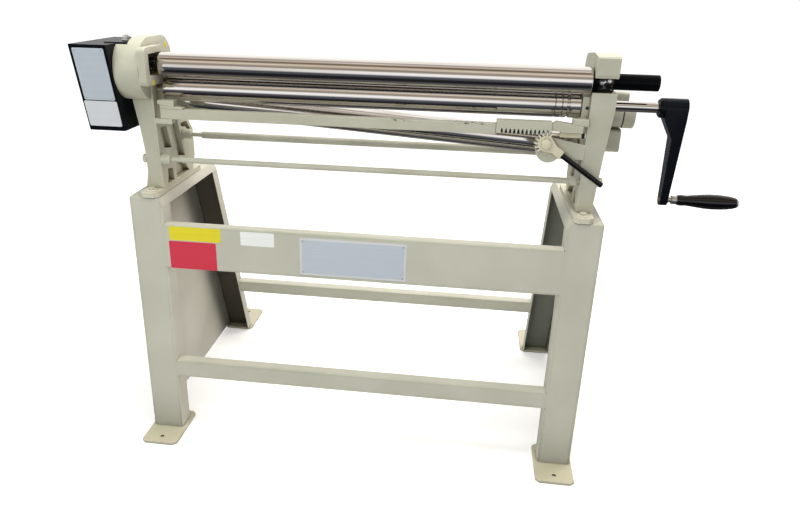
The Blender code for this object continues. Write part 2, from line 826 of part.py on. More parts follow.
# Lower roll with wire grooves at its right end, and its shaft through both castings
lower_left = left_face + lower_roll_left_gap
lower_right = right_face - lower_roll_right_gap
shaft = lower_shaft_diameter / 2
crank_start = right_outer + crank_shaft_reach
shaft_end = crank_start + crank_hub_length
gear_right = drum_outer - gear_cover_clearance
gear_left = gear_right - gear_width
grooves = []
groove_right = lower_right - wire_groove_reach
for width in wire_groove_widths:
    grooves += [(groove_right, roll_radius), (groove_right, roll_radius - wire_groove_depth),
                (groove_right - width, roll_radius - wire_groove_depth),
                (groove_right - width, roll_radius)]
    groove_right -= wire_groove_step
lower_centre = (0, lower_roll_y, lower_roll_z)
lower_roll = turned("lower_roll", "X", lower_centre, [
    (shaft_end, 0), (shaft_end, shaft), (lower_right, shaft), (lower_right, roll_radius - chamfer),
    (lower_right - chamfer, roll_radius), *grooves, (lower_left + chamfer, roll_radius),
    (lower_left, roll_radius - chamfer), (lower_left, shaft),
    (gear_left - gear_hub_length, shaft), (gear_left - gear_hub_length, 0),
], STEEL, roll_steps)


# Spur gears with involute flanks, thinned because the shafts' distance changes
def involute_angle(radius, base):
    """Angle that an involute has turned through at the given radius."""
    if radius <= base:
        return 0
    pressure = math.acos(base / radius)
    return math.tan(pressure) - pressure


def gear_outline(centre, teeth, module, tooth_share, addendum, dedendum, pressure, phase,
                 flank_steps=4, first=0, count=None):
    """Places on the outline of a spur gear, one tooth after another."""
    pitch = teeth * module / 2
    base = pitch * math.cos(pressure)
    tip, root = pitch + addendum, pitch - dedendum
    half = tooth_share * math.pi / teeth + involute_angle(pitch, base)
    points = []
    for tooth in range(first, first + (count or teeth)):
        middle = phase + math.tau * tooth / teeth
        radii = [root + (tip - root) * i / flank_steps for i in range(flank_steps + 1)]
        rising = [(r, middle - half + involute_angle(r, base)) for r in radii]
        falling = [(r, 2 * middle - a) for r, a in reversed(rising)]
        points += [(centre[0] + r * math.cos(a), centre[1] + r * math.sin(a))
                   for r, a in rising + falling]
    return points


mesh_angle = math.atan2(lower_roll_z - top_roll_z, lower_roll_y - top_roll_y)
gear_addendum = gear_module * gear_addendum_share
gear_dedendum = gear_module * gear_dedendum_share


def drive_gear(name, y, z, phase, bore):
    outline = gear_outline((y, z), gear_teeth, gear_module, gear_tooth_share, gear_addendum,
                           gear_dedendum, gear_pressure_angle, phase, flank_steps=3)
    made = slab(name, "X", outline, (gear_left, gear_right), STEEL)
    fuse(made, rod(name + "_hub", "X", (0, y, z), gear_hub_diameter / 2,
                   (gear_left + cut_overrun, gear_right + gear_hub_length), steps=small_steps))
    if bore:
        cut(made, rod(name + "_bore", "X", (0, y, z), bore,
                      (gear_left - cut_overrun, gear_right + gear_hub_length + cut_overrun),
                      steps=roll_steps))
    return made


lower_gear = drive_gear("lower_drive_gear", lower_roll_y, lower_roll_z, mesh_angle + math.pi,
                        shaft + seat_gap)
top_gear = drive_gear("top_drive_gear", top_roll_y, top_roll_z,
                      mesh_angle + math.pi / gear_teeth, left_journal + seat_gap)
top_gear_shaft = turned("top_gear_shaft", "X", top_centre, [
    (bush_pocket_end + seat_gap, 0), (bush_pocket_end + seat_gap, left_journal),
    (gear_left - gear_hub_length, left_journal), (gear_left - gear_hub_length, 0),
], STEEL, small_steps)

# Gear cover: a closed sheet box with a sloping front
cover_left = cover_right - cover_width
cover_low = cover_top - cover_height


def cover_outline(inset):
    slope = (cover_front_top + cover_front_bottom) / cover_height
    return [(-cover_front_top + inset * (1 + slope), cover_top - inset),
            (cover_back - inset, cover_top - inset), (cover_back - inset, cover_low + inset),
            (cover_front_bottom + inset * (1 - slope), cover_low + inset)]


gear_cover = slab("gear_cover", "X", cover_outline(0), (cover_left, cover_right), BLACK)
cut(gear_cover,
    slab("gear_cover_inside", "X", cover_outline(cover_wall),
         (cover_left + cover_wall, cover_right - cover_wall)),
    slab("gear_cover_shaft_hole", "X",
         arc((top_roll_y, top_roll_z), cover_hole_radius, mesh_angle + math.pi / 2,
             mesh_angle + math.pi * 1.5, bolt_steps)
         + arc((lower_roll_y, lower_roll_z), cover_hole_radius, mesh_angle - math.pi / 2,
               mesh_angle + math.pi / 2, bolt_steps),
         (cover_right - cover_wall - cut_overrun, cover_right + cut_overrun)))
fuse(gear_cover,
     box("gear_cover_tongue", (cover_right - tongue_left_reach, shelf_right - seat_gap),
         (tongue_front, tongue_back), (cover_top - tongue_drop, cover_top + tongue_rise)))
cover_oiler = turned("cover_oiler", "Z",
                     (cover_right + oiler_side, oiler_back, cover_top + tongue_rise + seat_gap), [
                         (oiler_height, 0), (oiler_height, oiler_diameter * 0.30),
                         (oiler_height * 0.75, oiler_diameter * 0.42),
                         (oiler_height * 0.45, oiler_diameter * 0.42),
                         (oiler_height * 0.35, oiler_diameter / 2), (0, oiler_diameter / 2), (0, 0),
                     ], ZINC)

# Hook over the right journal
hook_left = right_face
hook_right = hook_left + hook_width
hook_front = top_roll_y - hook_front_reach
nose_low = top_roll_z + hook_nose_rise
hook_top = top_roll_z + hook_top_rise
cavity = handle_journal_diameter / 2 + seat_gap
hook_outline = (
    [(hook_front, nose_low + hook_corner), (hook_front + hook_corner / 2, nose_low)]
    + arc((top_roll_y, top_roll_z), cavity,
          math.pi - math.asin(hook_nose_rise / cavity), math.asin(hook_nose_rise / cavity), 16)
    + [(top_roll_y + cavity + hook_corner / 2, nose_low - hook_corner)]
    + arc((hook_pin_y, hook_pin_z), hook_barrel_radius, math.radians(230), math.radians(430), 16)
    + [(top_roll_y + cavity, hook_top + hook_corner / 2), (hook_front + hook_corner / 2, hook_top),
       (hook_front, hook_top - hook_corner / 2)])
roll_hook = slab("roll_hook", "X", hook_outline, (hook_left, hook_right), PAINT)
cut(roll_hook,
    rod("roll_hook_pin_hole", "X", (0, hook_pin_y, hook_pin_z), hook_pin_diameter / 2 + seat_gap,
        (hook_left - cut_overrun, hook_right + cut_overrun), steps=small_steps),
    box("roll_hook_slot", (lug_x[0] - hook_side_gap, lug_x[1] + hook_side_gap),
        (hook_pin_y - hook_barrel_radius - hook_side_gap * 2, hook_pin_y + hook_barrel_radius * 2),
        (seat_z - hook_barrel_radius, hook_top + hook_barrel_radius)))
hook_pin = turned("hook_pin", "X", (0, hook_pin_y, hook_pin_z), [
    (hook_right + hook_pin_diameter / 4, 0), (hook_right + hook_pin_diameter / 4, hook_pin_diameter * 0.4),
    (hook_right + cut_overrun, hook_pin_diameter / 2),
    (hook_left - cut_overrun, hook_pin_diameter / 2), (hook_left - cut_overrun, 0)], ZINC)

# Crank: hub, tapering arm and turning grip
hub = crank_hub_diameter / 2
hub_end = crank_start + crank_hub_length
arm_low = lower_roll_z - crank_radius - crank_end_width / 2
arm_right = hub_end - crank_end_thickness / 2
arm_left = arm_right - crank_end_thickness
arm_front = slab("crank_arm", "Y", [
    (crank_start, lower_roll_z + hub), (hub_end, lower_roll_z + hub), (hub_end, lower_roll_z - hub),
    (arm_right, arm_low), (arm_left, arm_low),
    (hub_end - crank_neck_thickness, lower_roll_z - hub * crank_waist_share),
    (crank_start, lower_roll_z - hub * crank_root_share)],
    (lower_roll_y - crank_hub_diameter, lower_roll_y + crank_hub_diameter), BLACK)
crank_arm = meet(arm_front, slab("crank_arm_side_view", "X", (
    arc((lower_roll_y, lower_roll_z), hub, 0, math.pi, small_steps)
    + arc((lower_roll_y, lower_roll_z - crank_radius), crank_end_width / 2, math.pi, math.tau,
          bolt_steps)), (crank_start - cut_overrun, hub_end + cut_overrun)))
crank_grip_z = lower_roll_z - crank_radius
spindle = grip_spindle_diameter / 2
cut(crank_arm,
    rod("crank_arm_bore", "X", lower_centre, shaft + seat_gap,
        (crank_start - cut_overrun, hub_end + cut_overrun), steps=roll_steps),
    rod("crank_arm_spindle_hole", "X", (0, lower_roll_y, crank_grip_z), spindle + seat_gap,
        (arm_left - cut_overrun, hub_end), steps=small_steps))
crank_collar = turned("crank_collar", "X", lower_centre, [
    (crank_start - seat_gap, shaft + seat_gap),
    (crank_start - seat_gap, crank_collar_diameter / 2),
    (crank_start - crank_collar_length * 0.7, crank_collar_diameter / 2),
    (crank_start - crank_collar_length, crank_collar_diameter * 0.42),
    (crank_start - crank_collar_length, shaft + seat_gap)], BLACK, roll_steps, ring=True)
grip_start = hub_end + grip_washer_thickness + grip_collar_length
grip_end = grip_start + grip_length
washer_left = arm_right + grip_washer_thickness
grip_spindle = turned("grip_spindle", "X", (0, lower_roll_y, crank_grip_z), [
    (grip_end, 0), (grip_end, spindle), (grip_start - seat_gap, spindle),
    (grip_start - seat_gap, grip_collar_diameter / 2),
    (grip_start - grip_collar_length, grip_collar_diameter / 2),
    (grip_start - grip_collar_length, spindle * spindle_neck_share),
    (washer_left, spindle * spindle_neck_share),
    (washer_left, grip_washer_diameter / 2),
    (washer_left - grip_washer_thickness / 2, grip_washer_diameter / 2),
    (washer_left - grip_washer_thickness / 2, spindle),
    (arm_left, spindle), (arm_left, 0)], STEEL)
grip_radius = grip_max_diameter / 2
crank_grip = turned("crank_grip", "X", (0, lower_roll_y, crank_grip_z),
                    [(grip_start + grip_length * a, grip_radius * b) for a, b in grip_profile_shares]
                    + [(grip_start, spindle + seat_gap), (grip_end, spindle + seat_gap)],
                    GRIP, small_steps, ring=True)

# Wedge bar, rack, wedge pads
bar_low = stand_height + bar_floor
bar_high = bar_low + bar_height
bar_y = (bar_front, bar_front + bar_thickness)
bar_left = left_face - bar_left_gap
rack_left = right_face - rack_start_inset
rack_right = rack_left + rack_length
rack_top = bar_high + rack_top_rise
lever_x = right_face - lever_pivot_inset
rack_pitch_z = bar_low + tooth_addendum + tooth_dedendum - cut_overrun / 2
lever_z = rack_pitch_z - pinion_pitch_radius
wedge_bar = slab("wedge_bar", "Y", [
    (bar_left, bar_low), (rack_left - seat_gap, bar_low), (rack_left - seat_gap, bar_high),
    (bar_left, bar_high)], bar_y, PAINT)


def rack_tooth(centre):
    half = tooth_pitch * rack_share_of_pitch / 2
    root = half + tooth_dedendum * math.tan(tooth_angle)
    tip = half - tooth_addendum * math.tan(tooth_angle)
    high, low = rack_pitch_z + tooth_dedendum + rack_slot_extra, rack_pitch_z - tooth_addendum
    return [(centre - root, high), (centre - tip, low), (centre + tip, low), (centre + root, high)]


rack_outline = [(rack_left, rack_top)]
rack_phase = tooth_pitch / 2
first_tooth = lever_x + rack_phase - (rack_teeth - 1) * tooth_pitch
rack_outline.append((rack_left, rack_pitch_z - tooth_addendum))
rack_outline.append((first_tooth - tooth_pitch * 0.75, rack_pitch_z - tooth_addendum))
rack_outline.append((first_tooth - tooth_pitch * 0.72,
                     rack_pitch_z + tooth_dedendum + rack_slot_extra))
for i in range(rack_teeth):
    rack_outline += rack_tooth(first_tooth + i * tooth_pitch)
rack_outline += [(rack_right, rack_pitch_z + tooth_dedendum + rack_slot_extra),
                 (rack_right, rack_top)]
wedge_rack = slab("wedge_rack", "Y", rack_outline, (lever_head_front, bar_y[1]), PAINT)

pad_left_x = (bar_left, bar_left + wedge_pad_length)


def pad_left_top(x):
    return bar_high + seat_gap + wedge_pad_height - (x - pad_left_x[0]) * wedge_slope


wedge_pad_left = slab("wedge_pad_left", "Y", [
    (pad_left_x[0], bar_high + seat_gap), (pad_left_x[1], bar_high + seat_gap),
    (pad_left_x[1], pad_left_top(pad_left_x[1])), (pad_left_x[0], pad_left_top(pad_left_x[0]))],
    bar_y, PAINT)
pad_right_x = (rack_right + seat_gap, rack_right + wedge_pad_right_length)
pad_right_low = rack_top - wedge_end_height + cut_overrun


def pad_right_top(x):
    return rack_top + rack_top_rise / 4 - (x - pad_right_x[0]) * wedge_slope


wedge_pad_right = slab("wedge_pad_right", "Y", [
    (pad_right_x[0], pad_right_low + wedge_relief_height),
    (pad_right_x[0] + wedge_relief_length, pad_right_low + wedge_relief_height),
    (pad_right_x[0] + wedge_relief_length + wedge_relief_height, pad_right_low),
    (pad_right_x[1], pad_right_low),
    (pad_right_x[1], pad_right_top(pad_right_x[1])),
    (pad_right_x[0] + wedge_pad_height, pad_right_top(pad_right_x[0] + wedge_pad_height)),
    (pad_right_x[0], rack_top - wedge_pad_height / 2)], bar_y, PAINT)

# Carriage blocks that ride on the wedge pads and carry the lower roll
block_left_x = (column_inner + seat_gap, column_inner + carriage_block_length)
block_y = (bar_front, carriage_block_back)
carriage_left = slab("carriage_block_left", "Y", [
    (block_left_x[0], pad_left_top(block_left_x[0]) + seat_gap),
    (block_left_x[1], pad_left_top(block_left_x[1]) + seat_gap),
    (block_left_x[1], lower_roll_z - carriage_up), (block_left_x[0], lower_roll_z - carriage_up)],
    (carriage_left_front, carriage_block_back), PAINT)
toe_x = (column_inner + carriage_toe_start, column_inner + carriage_toe_start + carriage_toe_length)
fuse(carriage_left, slab("carriage_left_toe", "Y", [
    (toe_x[0], pad_left_top(toe_x[0]) + seat_gap), (toe_x[1], pad_left_top(toe_x[1]) + seat_gap),
    (toe_x[1], pad_left_top(toe_x[0]) + carriage_toe_height),
    (toe_x[0], pad_left_top(toe_x[0]) + carriage_toe_height)],
    (bar_front, bar_y[1] - seat_gap * 3)),
     box("carriage_left_web", (toe_x[0], block_left_x[1]),
         (bar_front + carriage_toe_height / 2, carriage_left_front + cut_overrun),
         (pad_left_top(toe_x[0]) + seat_gap, pad_left_top(toe_x[0]) + carriage_toe_height)))
cut(carriage_left,
    rod("carriage_left_seat", "X", lower_centre, shaft + seat_gap,
        (block_left_x[0] - cut_overrun, block_left_x[1] + cut_overrun), steps=roll_steps))
block_right_x = (right_face - seat_gap - carriage_right_length, right_face - seat_gap)
foot_right_x = (right_face - seat_gap - carriage_right_foot, right_face - seat_gap)
carriage_right = box("carriage_block_right", block_right_x,
                     (bar_y[1] + seat_gap, carriage_block_back),
                     (pad_right_top(block_right_x[1]) + seat_gap,
                      lower_roll_z + carriage_right_rise), PAINT)
fuse(carriage_right, slab("carriage_right_foot", "Y", [
    (foot_right_x[0], pad_right_top(foot_right_x[0]) + seat_gap),
    (foot_right_x[1], pad_right_top(foot_right_x[1]) + seat_gap),
    (foot_right_x[1], pad_right_top(foot_right_x[0]) + carriage_foot_height),
    (foot_right_x[0], pad_right_top(foot_right_x[0]) + carriage_foot_height)],
    (bar_front, bar_y[1] + seat_gap + cut_overrun)))
cut(carriage_right,
    rod("carriage_right_bore", "X", lower_centre, shaft + seat_gap,
        (block_right_x[0] - cut_overrun, block_right_x[1] + cut_overrun), steps=roll_steps))

# Toothed lever
lever_y = (lever_head_front, lever_head_front + lever_head_thickness)
lever_direction = Vector((math.cos(lever_rest_angle), math.sin(lever_rest_angle)))
lever_normal = Vector((-lever_direction.y, lever_direction.x))
pinion_half_turn = math.pi / pinion_teeth
lever_tooth_count = 8
lever_first_tooth = 3
teeth_outline = gear_outline((lever_x, lever_z), pinion_teeth, tooth_pitch / math.pi,
                             pinion_share_of_pitch, tooth_addendum, tooth_dedendum,
                             tooth_angle, math.pi / 2 - math.tau / pinion_teeth * 4 ,
                             flank_steps=3, first=lever_first_tooth, count=lever_tooth_count)


def on_lever(along, across):
    place = Vector((lever_x, lever_z)) + lever_direction * along + lever_normal * across
    return (place.x, place.y)


socket = lever_socket_width / 2
head_outline = teeth_outline + [
    on_lever(pinion_pitch_radius * 0.55, -pinion_pitch_radius * 0.62),
    on_lever(pinion_pitch_radius * 0.95, -socket), on_lever(lever_socket_length, -socket),
    on_lever(lever_socket_length, socket), on_lever(pinion_pitch_radius * 1.05, socket)]
toothed_lever = slab("toothed_lever", "Y", head_outline, lever_y, PAINT)
cut(toothed_lever, rod("toothed_lever_bore", "Y", (lever_x, 0, lever_z),
                       lever_bolt_diameter / 2 + seat_gap,
                       (lever_y[0] - cut_overrun, lever_y[1] + cut_overrun), steps=small_steps))
grip_middle = on_lever(lever_socket_length + seat_gap + lever_grip_length / 2, 0)
lever_middle_y = (lever_y[0] + lever_y[1]) / 2 - seat_gap * 4
lever_grip = rod("lever_grip", "Z", (0, 0, 0), lever_grip_diameter / 2,
                 (-lever_grip_length / 2, lever_grip_length / 2), GRIP, steps=lever_grip_sides,
                 turn=math.pi / lever_grip_sides)
lever_grip.data.transform(Matrix.Translation((grip_middle[0], lever_middle_y, grip_middle[1]))
                          @ Matrix.Rotation(math.pi / 2 - lever_rest_angle, 4, "Y"))

# Lever bracket on the right frame, its pivot bolt and the bar's guides
bracket_y = (lever_y[1] + seat_gap, lever_y[1] + seat_gap + bracket_thickness)
bracket_right = right_face - seat_gap
bracket_boss = pinion_pitch_radius * 0.6
lobe_centre = (lever_x + bracket_lobe_aside, lever_z - bracket_lobe_drop)
lever_bracket = slab("lever_bracket", "Y", (
    [(bracket_right, lever_z - bracket_drop - bracket_height / 2),
     (bracket_right, lever_z - bracket_drop + bracket_height / 2)]
    + arc((lever_x, lever_z), bracket_boss, math.radians(60), math.radians(150), bolt_steps)
    + arc(lobe_centre, bracket_lobe_radius, math.radians(150), math.radians(320), bolt_steps)),
    bracket_y, PAINT)
cut(lever_bracket, rod("lever_bracket_bore", "Y", (lever_x, 0, lever_z),
                       lever_bolt_diameter / 2 + seat_gap,
                       (bracket_y[0] - cut_overrun, bracket_y[1] + cut_overrun),
                       steps=small_steps))
lever_bolt = rod("lever_pivot_bolt", "Y", (lever_x, 0, lever_z), lever_bolt_diameter / 2,
                 (lever_y[0] - seat_gap * 2, bracket_y[1]), PAINT, steps=small_steps)
fuse(lever_bolt, rod("lever_bolt_head", "Y", (lever_x, 0, lever_z), lever_bolt_head_width / 2,
                     (lever_y[0] - seat_gap - lever_bolt_head_height, lever_y[0] - seat_gap),
                     steps=6))
guide_right_x = (lever_x + pinion_pitch_radius + tooth_addendum + cut_overrun, bracket_right)
guide_top = rack_top - wedge_end_height + cut_overrun - seat_gap
guide_y = (lever_y[1] + seat_gap, bar_y[1])
bar_guide_right = box("bar_guide_right", guide_right_x, guide_y,
                      (guide_top - guide_height, guide_top), PAINT)
bar_guide_left = box("bar_guide_left", (column_inner + seat_gap, column_inner + guide_length),
                     bar_y, (bar_low - seat_gap - guide_height, bar_low - seat_gap), PAINT)


# Tie rods between the castings
def tie_rod(name, y, z, diameter):
    left, right = column_inner + seat_gap, right_face - seat_gap
    radius, neck = diameter / 2, tie_neck_diameter / 2
    collar, nut = tie_collar_diameter / 2, tie_nut_diameter / 2
    nut_right = right - tie_stub_length
    nut_left = nut_right - tie_nut_length
    return turned(name, "X", (0, y, z), [
        (right, 0), (right, neck), (nut_right, neck), (nut_right, nut), (nut_left, nut),
        (nut_left, radius), (left + tie_collar_length + tie_neck_length, radius),
        (left + tie_collar_length + tie_neck_length, neck), (left + tie_collar_length, neck),
        (left + tie_collar_length, collar), (left, collar), (left, 0)], PAINT)


front_tie_z = stand_height + front_tie_rise
rear_tie_z = stand_height + rear_tie_rise
tie_rod_front = tie_rod("tie_rod_front", front_tie_back, front_tie_z, front_tie_diameter)
tie_rod_rear = tie_rod("tie_rod_rear", rear_tie_back, rear_tie_z, rear_tie_diameter)

# Rear roll, made level about its left bearing and tilted by its parent
rear_left_centre = Vector((rear_pivot_x, rear_roll_back, rear_left_z))
journal = rear_journal_diameter / 2
rear_body_left = column_inner - rear_pivot_x + rear_roll_end_gap
rear_body_right = rear_span - rear_pocket_depth / 2 - rear_roll_end_gap
rear_roll = turned("rear_roll", "X", rear_left_centre, [
    (rear_span + rear_block_length / 2 - rear_roll_end_gap, 0),
    (rear_span + rear_block_length / 2 - rear_roll_end_gap, journal),
    (rear_body_right, journal), (rear_body_right, roll_radius - chamfer),
    (rear_body_right - chamfer, roll_radius), (rear_body_left + chamfer, roll_radius),
    (rear_body_left, roll_radius - chamfer), (rear_body_left, journal),
    (-rear_block_length / 2 + rear_roll_end_gap, journal),
    (-rear_block_length / 2 + rear_roll_end_gap, 0)], STEEL, roll_steps)
rear_bush_half = rear_block_length / 3
rear_bush_angle = math.asin(rear_bush_half / rear_bush_radius)
rear_bush = turned("rear_roll_bush", "X", rear_left_centre, [
    (rear_bush_radius * math.sin(rear_bush_angle * (1 - i / 4)),
     rear_bush_radius * math.cos(rear_bush_angle * (1 - i / 4))) for i in range(9)]
    + [(-rear_bush_half, journal + seat_gap), (rear_bush_half, journal + seat_gap)],
    BRONZE, small_steps, ring=True)


def rear_block(name, centre, bore):
    half_x, half_y, half_z = rear_block_length / 2, rear_block_width / 2, rear_block_height / 2
    x, y, z = centre
    made = box(name, (x - half_x, x + half_x), (y - half_y, y + half_y), (z - half_z, z + half_z),
               PAINT)
    return cut(made, rod(name + "_bore", "X", centre, bore,
                         (x - half_x - cut_overrun, x + half_x + cut_overrun), steps=roll_steps))


rear_block_left = rear_block("rear_block_left", rear_left_centre, rear_bush_radius + seat_gap)
rear_right_centre = Vector((rear_right_x, rear_roll_back, rear_right_z))
rear_block_right = rear_block("rear_block_right", rear_right_centre,
                              journal + rear_journal_end_clearance)

# Adjusting knob and fixed housing outside the right frame
knob_z = top_roll_z - rear_knob_drop
knob_start = right_outer + rear_knob_standoff
knob_end = knob_start + rear_knob_length
knob_groove = knob_end - rear_knob_cap_length
rear_knob = turned("rear_adjust_knob", "X", (0, rear_roll_back, knob_z), [
    (knob_end, 0), (knob_end, rear_knob_radius - chamfer * 2),
    (knob_end - chamfer * 2, rear_knob_radius), (knob_groove, rear_knob_radius),
    (knob_groove, rear_knob_radius - rear_knob_groove),
    (knob_groove - rear_knob_groove, rear_knob_radius - rear_knob_groove),
    (knob_groove - rear_knob_groove, rear_knob_radius), (knob_start, rear_knob_radius),
    (knob_start, rear_knob_shaft_diameter / 2),
    (right_outer - frame_foot_thickness, rear_knob_shaft_diameter / 2),
    (right_outer - frame_foot_thickness, 0)], PAINT, roll_steps)
cut(right_frame, rod("right_frame_knob_bore", "X", (0, rear_roll_back, knob_z),
                     rear_knob_shaft_diameter / 2 + seat_gap,
                     (right_face + rear_pocket_depth - cut_overrun, right_outer + cut_overrun),
                     steps=small_steps))
housing_mid_z = top_roll_z - rear_housing_drop
rear_housing = slab("rear_bearing_housing", "X", rounded(
    (rear_roll_back - rear_housing_width / 2, rear_roll_back + rear_housing_width / 2),
    (housing_mid_z - rear_housing_height / 2, housing_mid_z + rear_housing_height / 2),
    rear_housing_corner), (right_outer, right_outer + rear_housing_length), PAINT)
for vertex in rear_housing.data.vertices:
    if vertex.co.x < right_outer + rear_housing_length / 2:
        vertex.co.x = seat_gap + outer_edge(right_face, right_frame_width, right_outer_shares,
                                            vertex.co.z)

# Outer bolts at the ends of the tie rods
def tie_bolt(name, y, z, inner, width, shares):
    """Hexagon head on the casting's sloping outer face."""
    side = math.copysign(1, width)
    radius = tie_bolt_head_width / 2
    seat = max(side * outer_edge(inner, width, shares, z + dz) for dz in (-radius, 0, radius))
    start = side * (seat + seat_gap)
    return rod(name, "X", (0, y, z), radius, (start, start + side * tie_bolt_head_height), ZINC,
               steps=6)


for end, y, z in (("front", front_tie_back, front_tie_z), ("rear", rear_tie_back, rear_tie_z)):
    tie_bolt(f"tie_bolt_{end}_left", y, z, column_inner, -column_width, column_outer_shares)
    tie_bolt(f"tie_bolt_{end}_right", y, z, right_face, right_frame_width, right_outer_shares)

# Machine layout: everything hangs on one empty, moving pieces on empties at their joints
extent_right = grip_end
extent_left = cover_left
extent_front = front_foot
extent_back = rear_foot + foot_plate_length
middle = Vector(((extent_left + extent_right) / 2, (extent_front + extent_back) / 2, 0))


def pivot(name, place, parent=None, tilt=0):
    empty = bpy.data.objects.new(name, None)
    machine.objects.link(empty)
    empty["place"] = tuple(place)
    if parent is None:
        empty.location = Vector(place)
    else:
        empty.parent = parent
        empty.location = Vector(place) - Vector(parent["place"])
    empty.rotation_euler = (0, tilt, 0)
    return empty


def hang(empty, *objects):
    """Give each object its origin at the empty and parent it there, with its cutters."""
    place = Vector(empty["place"])
    for obj in objects:
        for tool in [t for t in cutters.objects if t.get("shapes") == obj.name]:
            tool.data.transform(Matrix.Translation(-place))
            tool.parent = empty
        obj.data.transform(Matrix.Translation(-place))
        obj.parent = empty


root = pivot("machine_root", (0, 0, 0))
root.location = -middle
lever_pivot = pivot("pivot_pinch_lever", (lever_x, lever_y[0], lever_z), root)
bar_slide = pivot("slide_wedge_bar", (lever_x, bar_front, bar_low), root)
carriage = pivot("slide_carriage", (right_face, lower_roll_y, lower_roll_z), root)
crank_axis = pivot("pivot_crank", (crank_start, lower_roll_y, lower_roll_z), carriage)
grip_axis = pivot("pivot_crank_grip", (grip_start, lower_roll_y, crank_grip_z), crank_axis)
top_gear_axis = pivot("pivot_top_gear", (gear_left, top_roll_y, top_roll_z), root)
swing_axis = pivot("pivot_top_roll_swing", (bush_x, top_roll_y, top_roll_z), root)
top_axis = pivot("pivot_top_roll", (bush_x, top_roll_y, top_roll_z), swing_axis)
hook_axis = pivot("pivot_hook", (hook_middle_x, hook_pin_y, hook_pin_z), root)
rear_lift = pivot("slide_rear_left", rear_left_centre, root)
rear_tilt = pivot("pivot_rear_tilt", rear_left_centre, rear_lift, tilt=rear_roll_tilt)
rear_axis = pivot("pivot_rear_roll", rear_left_centre, rear_tilt)
rear_right = pivot("slide_rear_right", rear_right_centre, rear_lift)
knob_axis = pivot("pivot_rear_knob", (knob_start, rear_roll_back, knob_z), root)

moving = {
    lever_pivot: (toothed_lever, lever_grip),
    bar_slide: (wedge_bar, wedge_rack, wedge_pad_left, wedge_pad_right),
    carriage: (carriage_left, carriage_right),
    crank_axis: (lower_roll, lower_gear, crank_arm, crank_collar, grip_spindle),
    grip_axis: (crank_grip,),
    top_gear_axis: (top_gear, top_gear_shaft),
    swing_axis: (top_roll_bush,),
    top_axis: (top_roll, roll_handle),
    hook_axis: (roll_hook,),
    rear_lift: (rear_block_left,),
    rear_tilt: (rear_bush,),
    rear_axis: (rear_roll,),
    rear_right: (rear_block_right,),
    knob_axis: (rear_knob,),
}
for empty, objects in moving.items():
    hang(empty, *objects)
placed = {obj for objects in moving.values() for obj in objects}
hang(root, *[obj for obj in machine.objects if obj.type == "MESH" and obj not in placed])
for tool in cutters.objects:
    if tool.parent is None:
        tool.parent = root
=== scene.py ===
"""Finish and small fittings of a hand slip roll, laid out as a Blender add-on.

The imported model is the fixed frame.  Cast and folded pieces are copies of its solids with rounded
edges, and the rolls, handles, screws and plates are surfaces worked out with numpy.
"""

import json
import math

import bmesh
import bpy
import numpy as np
from bpy.props import FloatProperty, FloatVectorProperty, PointerProperty
from mathutils import Matrix, Vector
from mathutils.bvhtree import BVHTree


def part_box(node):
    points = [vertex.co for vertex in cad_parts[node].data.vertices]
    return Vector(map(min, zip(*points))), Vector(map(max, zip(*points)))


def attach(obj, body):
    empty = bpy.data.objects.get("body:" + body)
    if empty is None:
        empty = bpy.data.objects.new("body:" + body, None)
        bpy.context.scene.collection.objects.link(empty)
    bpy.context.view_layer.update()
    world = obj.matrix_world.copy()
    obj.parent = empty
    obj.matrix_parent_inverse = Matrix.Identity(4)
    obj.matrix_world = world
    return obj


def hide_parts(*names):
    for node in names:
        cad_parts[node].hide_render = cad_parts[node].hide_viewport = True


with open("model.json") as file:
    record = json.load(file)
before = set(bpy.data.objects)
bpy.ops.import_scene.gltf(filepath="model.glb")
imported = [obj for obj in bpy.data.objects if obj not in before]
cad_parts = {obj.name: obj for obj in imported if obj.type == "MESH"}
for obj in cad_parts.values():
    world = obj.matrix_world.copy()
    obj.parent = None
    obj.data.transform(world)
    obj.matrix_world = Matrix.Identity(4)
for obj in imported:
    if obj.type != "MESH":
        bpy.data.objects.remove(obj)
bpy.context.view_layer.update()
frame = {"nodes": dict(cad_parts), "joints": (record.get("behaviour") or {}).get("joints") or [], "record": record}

bl_info = {
    "name": "Slip roll finish",
    "version": (1, 0, 0),
    "blender": (4, 5, 0),
    "location": "3D View > Sidebar > Slip roll",
    "description": "Enamel, ground steel and fittings for a hand slip roll on a stand",
    "category": "Add Mesh",
}

NODES = frame["nodes"]
BODY_OF = {node: body for body, group in frame["record"]["behaviour"]["bodies"].items()
           for node in group}
X_AXIS, Y_AXIS, Z_AXIS = (1, 0, 0), (0, 1, 0), (0, 0, 1)


# Colours and nodes

def linear(code):
    """Linear colour of an sRGB hex value: v/12.92 below 0.04045, else ((v+0.055)/1.055)^2.4."""
    parts = np.array([code >> 16 & 255, code >> 8 & 255, code & 255]) / 255
    rgb = np.where(parts <= 0.04045, parts / 12.92, ((parts + 0.055) / 1.055) ** 2.4)
    return (*rgb.tolist(), 1.0)


def add(tree, kind, inputs=None, **settings):
    """Adds one shader node, sets it up, and links or fills its inputs."""
    node = tree.nodes.new(kind)
    for key, value in settings.items():
        setattr(node, key, value)
    for key, value in (inputs or {}).items():
        if isinstance(value, bpy.types.NodeSocket):
            tree.links.new(value, node.inputs[key])
        else:
            node.inputs[key].default_value = value
    return node


def new_finish(name):
    """An empty node material and its Principled shader."""
    made = bpy.data.materials.new(name)
    made.use_nodes = True
    return made, made.node_tree, made.node_tree.nodes["Principled BSDF"]


def ramp(tree, factor, low, high):
    """Clamped 0 to 1 as factor goes from low to high."""
    return add(tree, "ShaderNodeMapRange", {
        "Value": factor, "From Min": low, "From Max": high}).outputs["Result"]


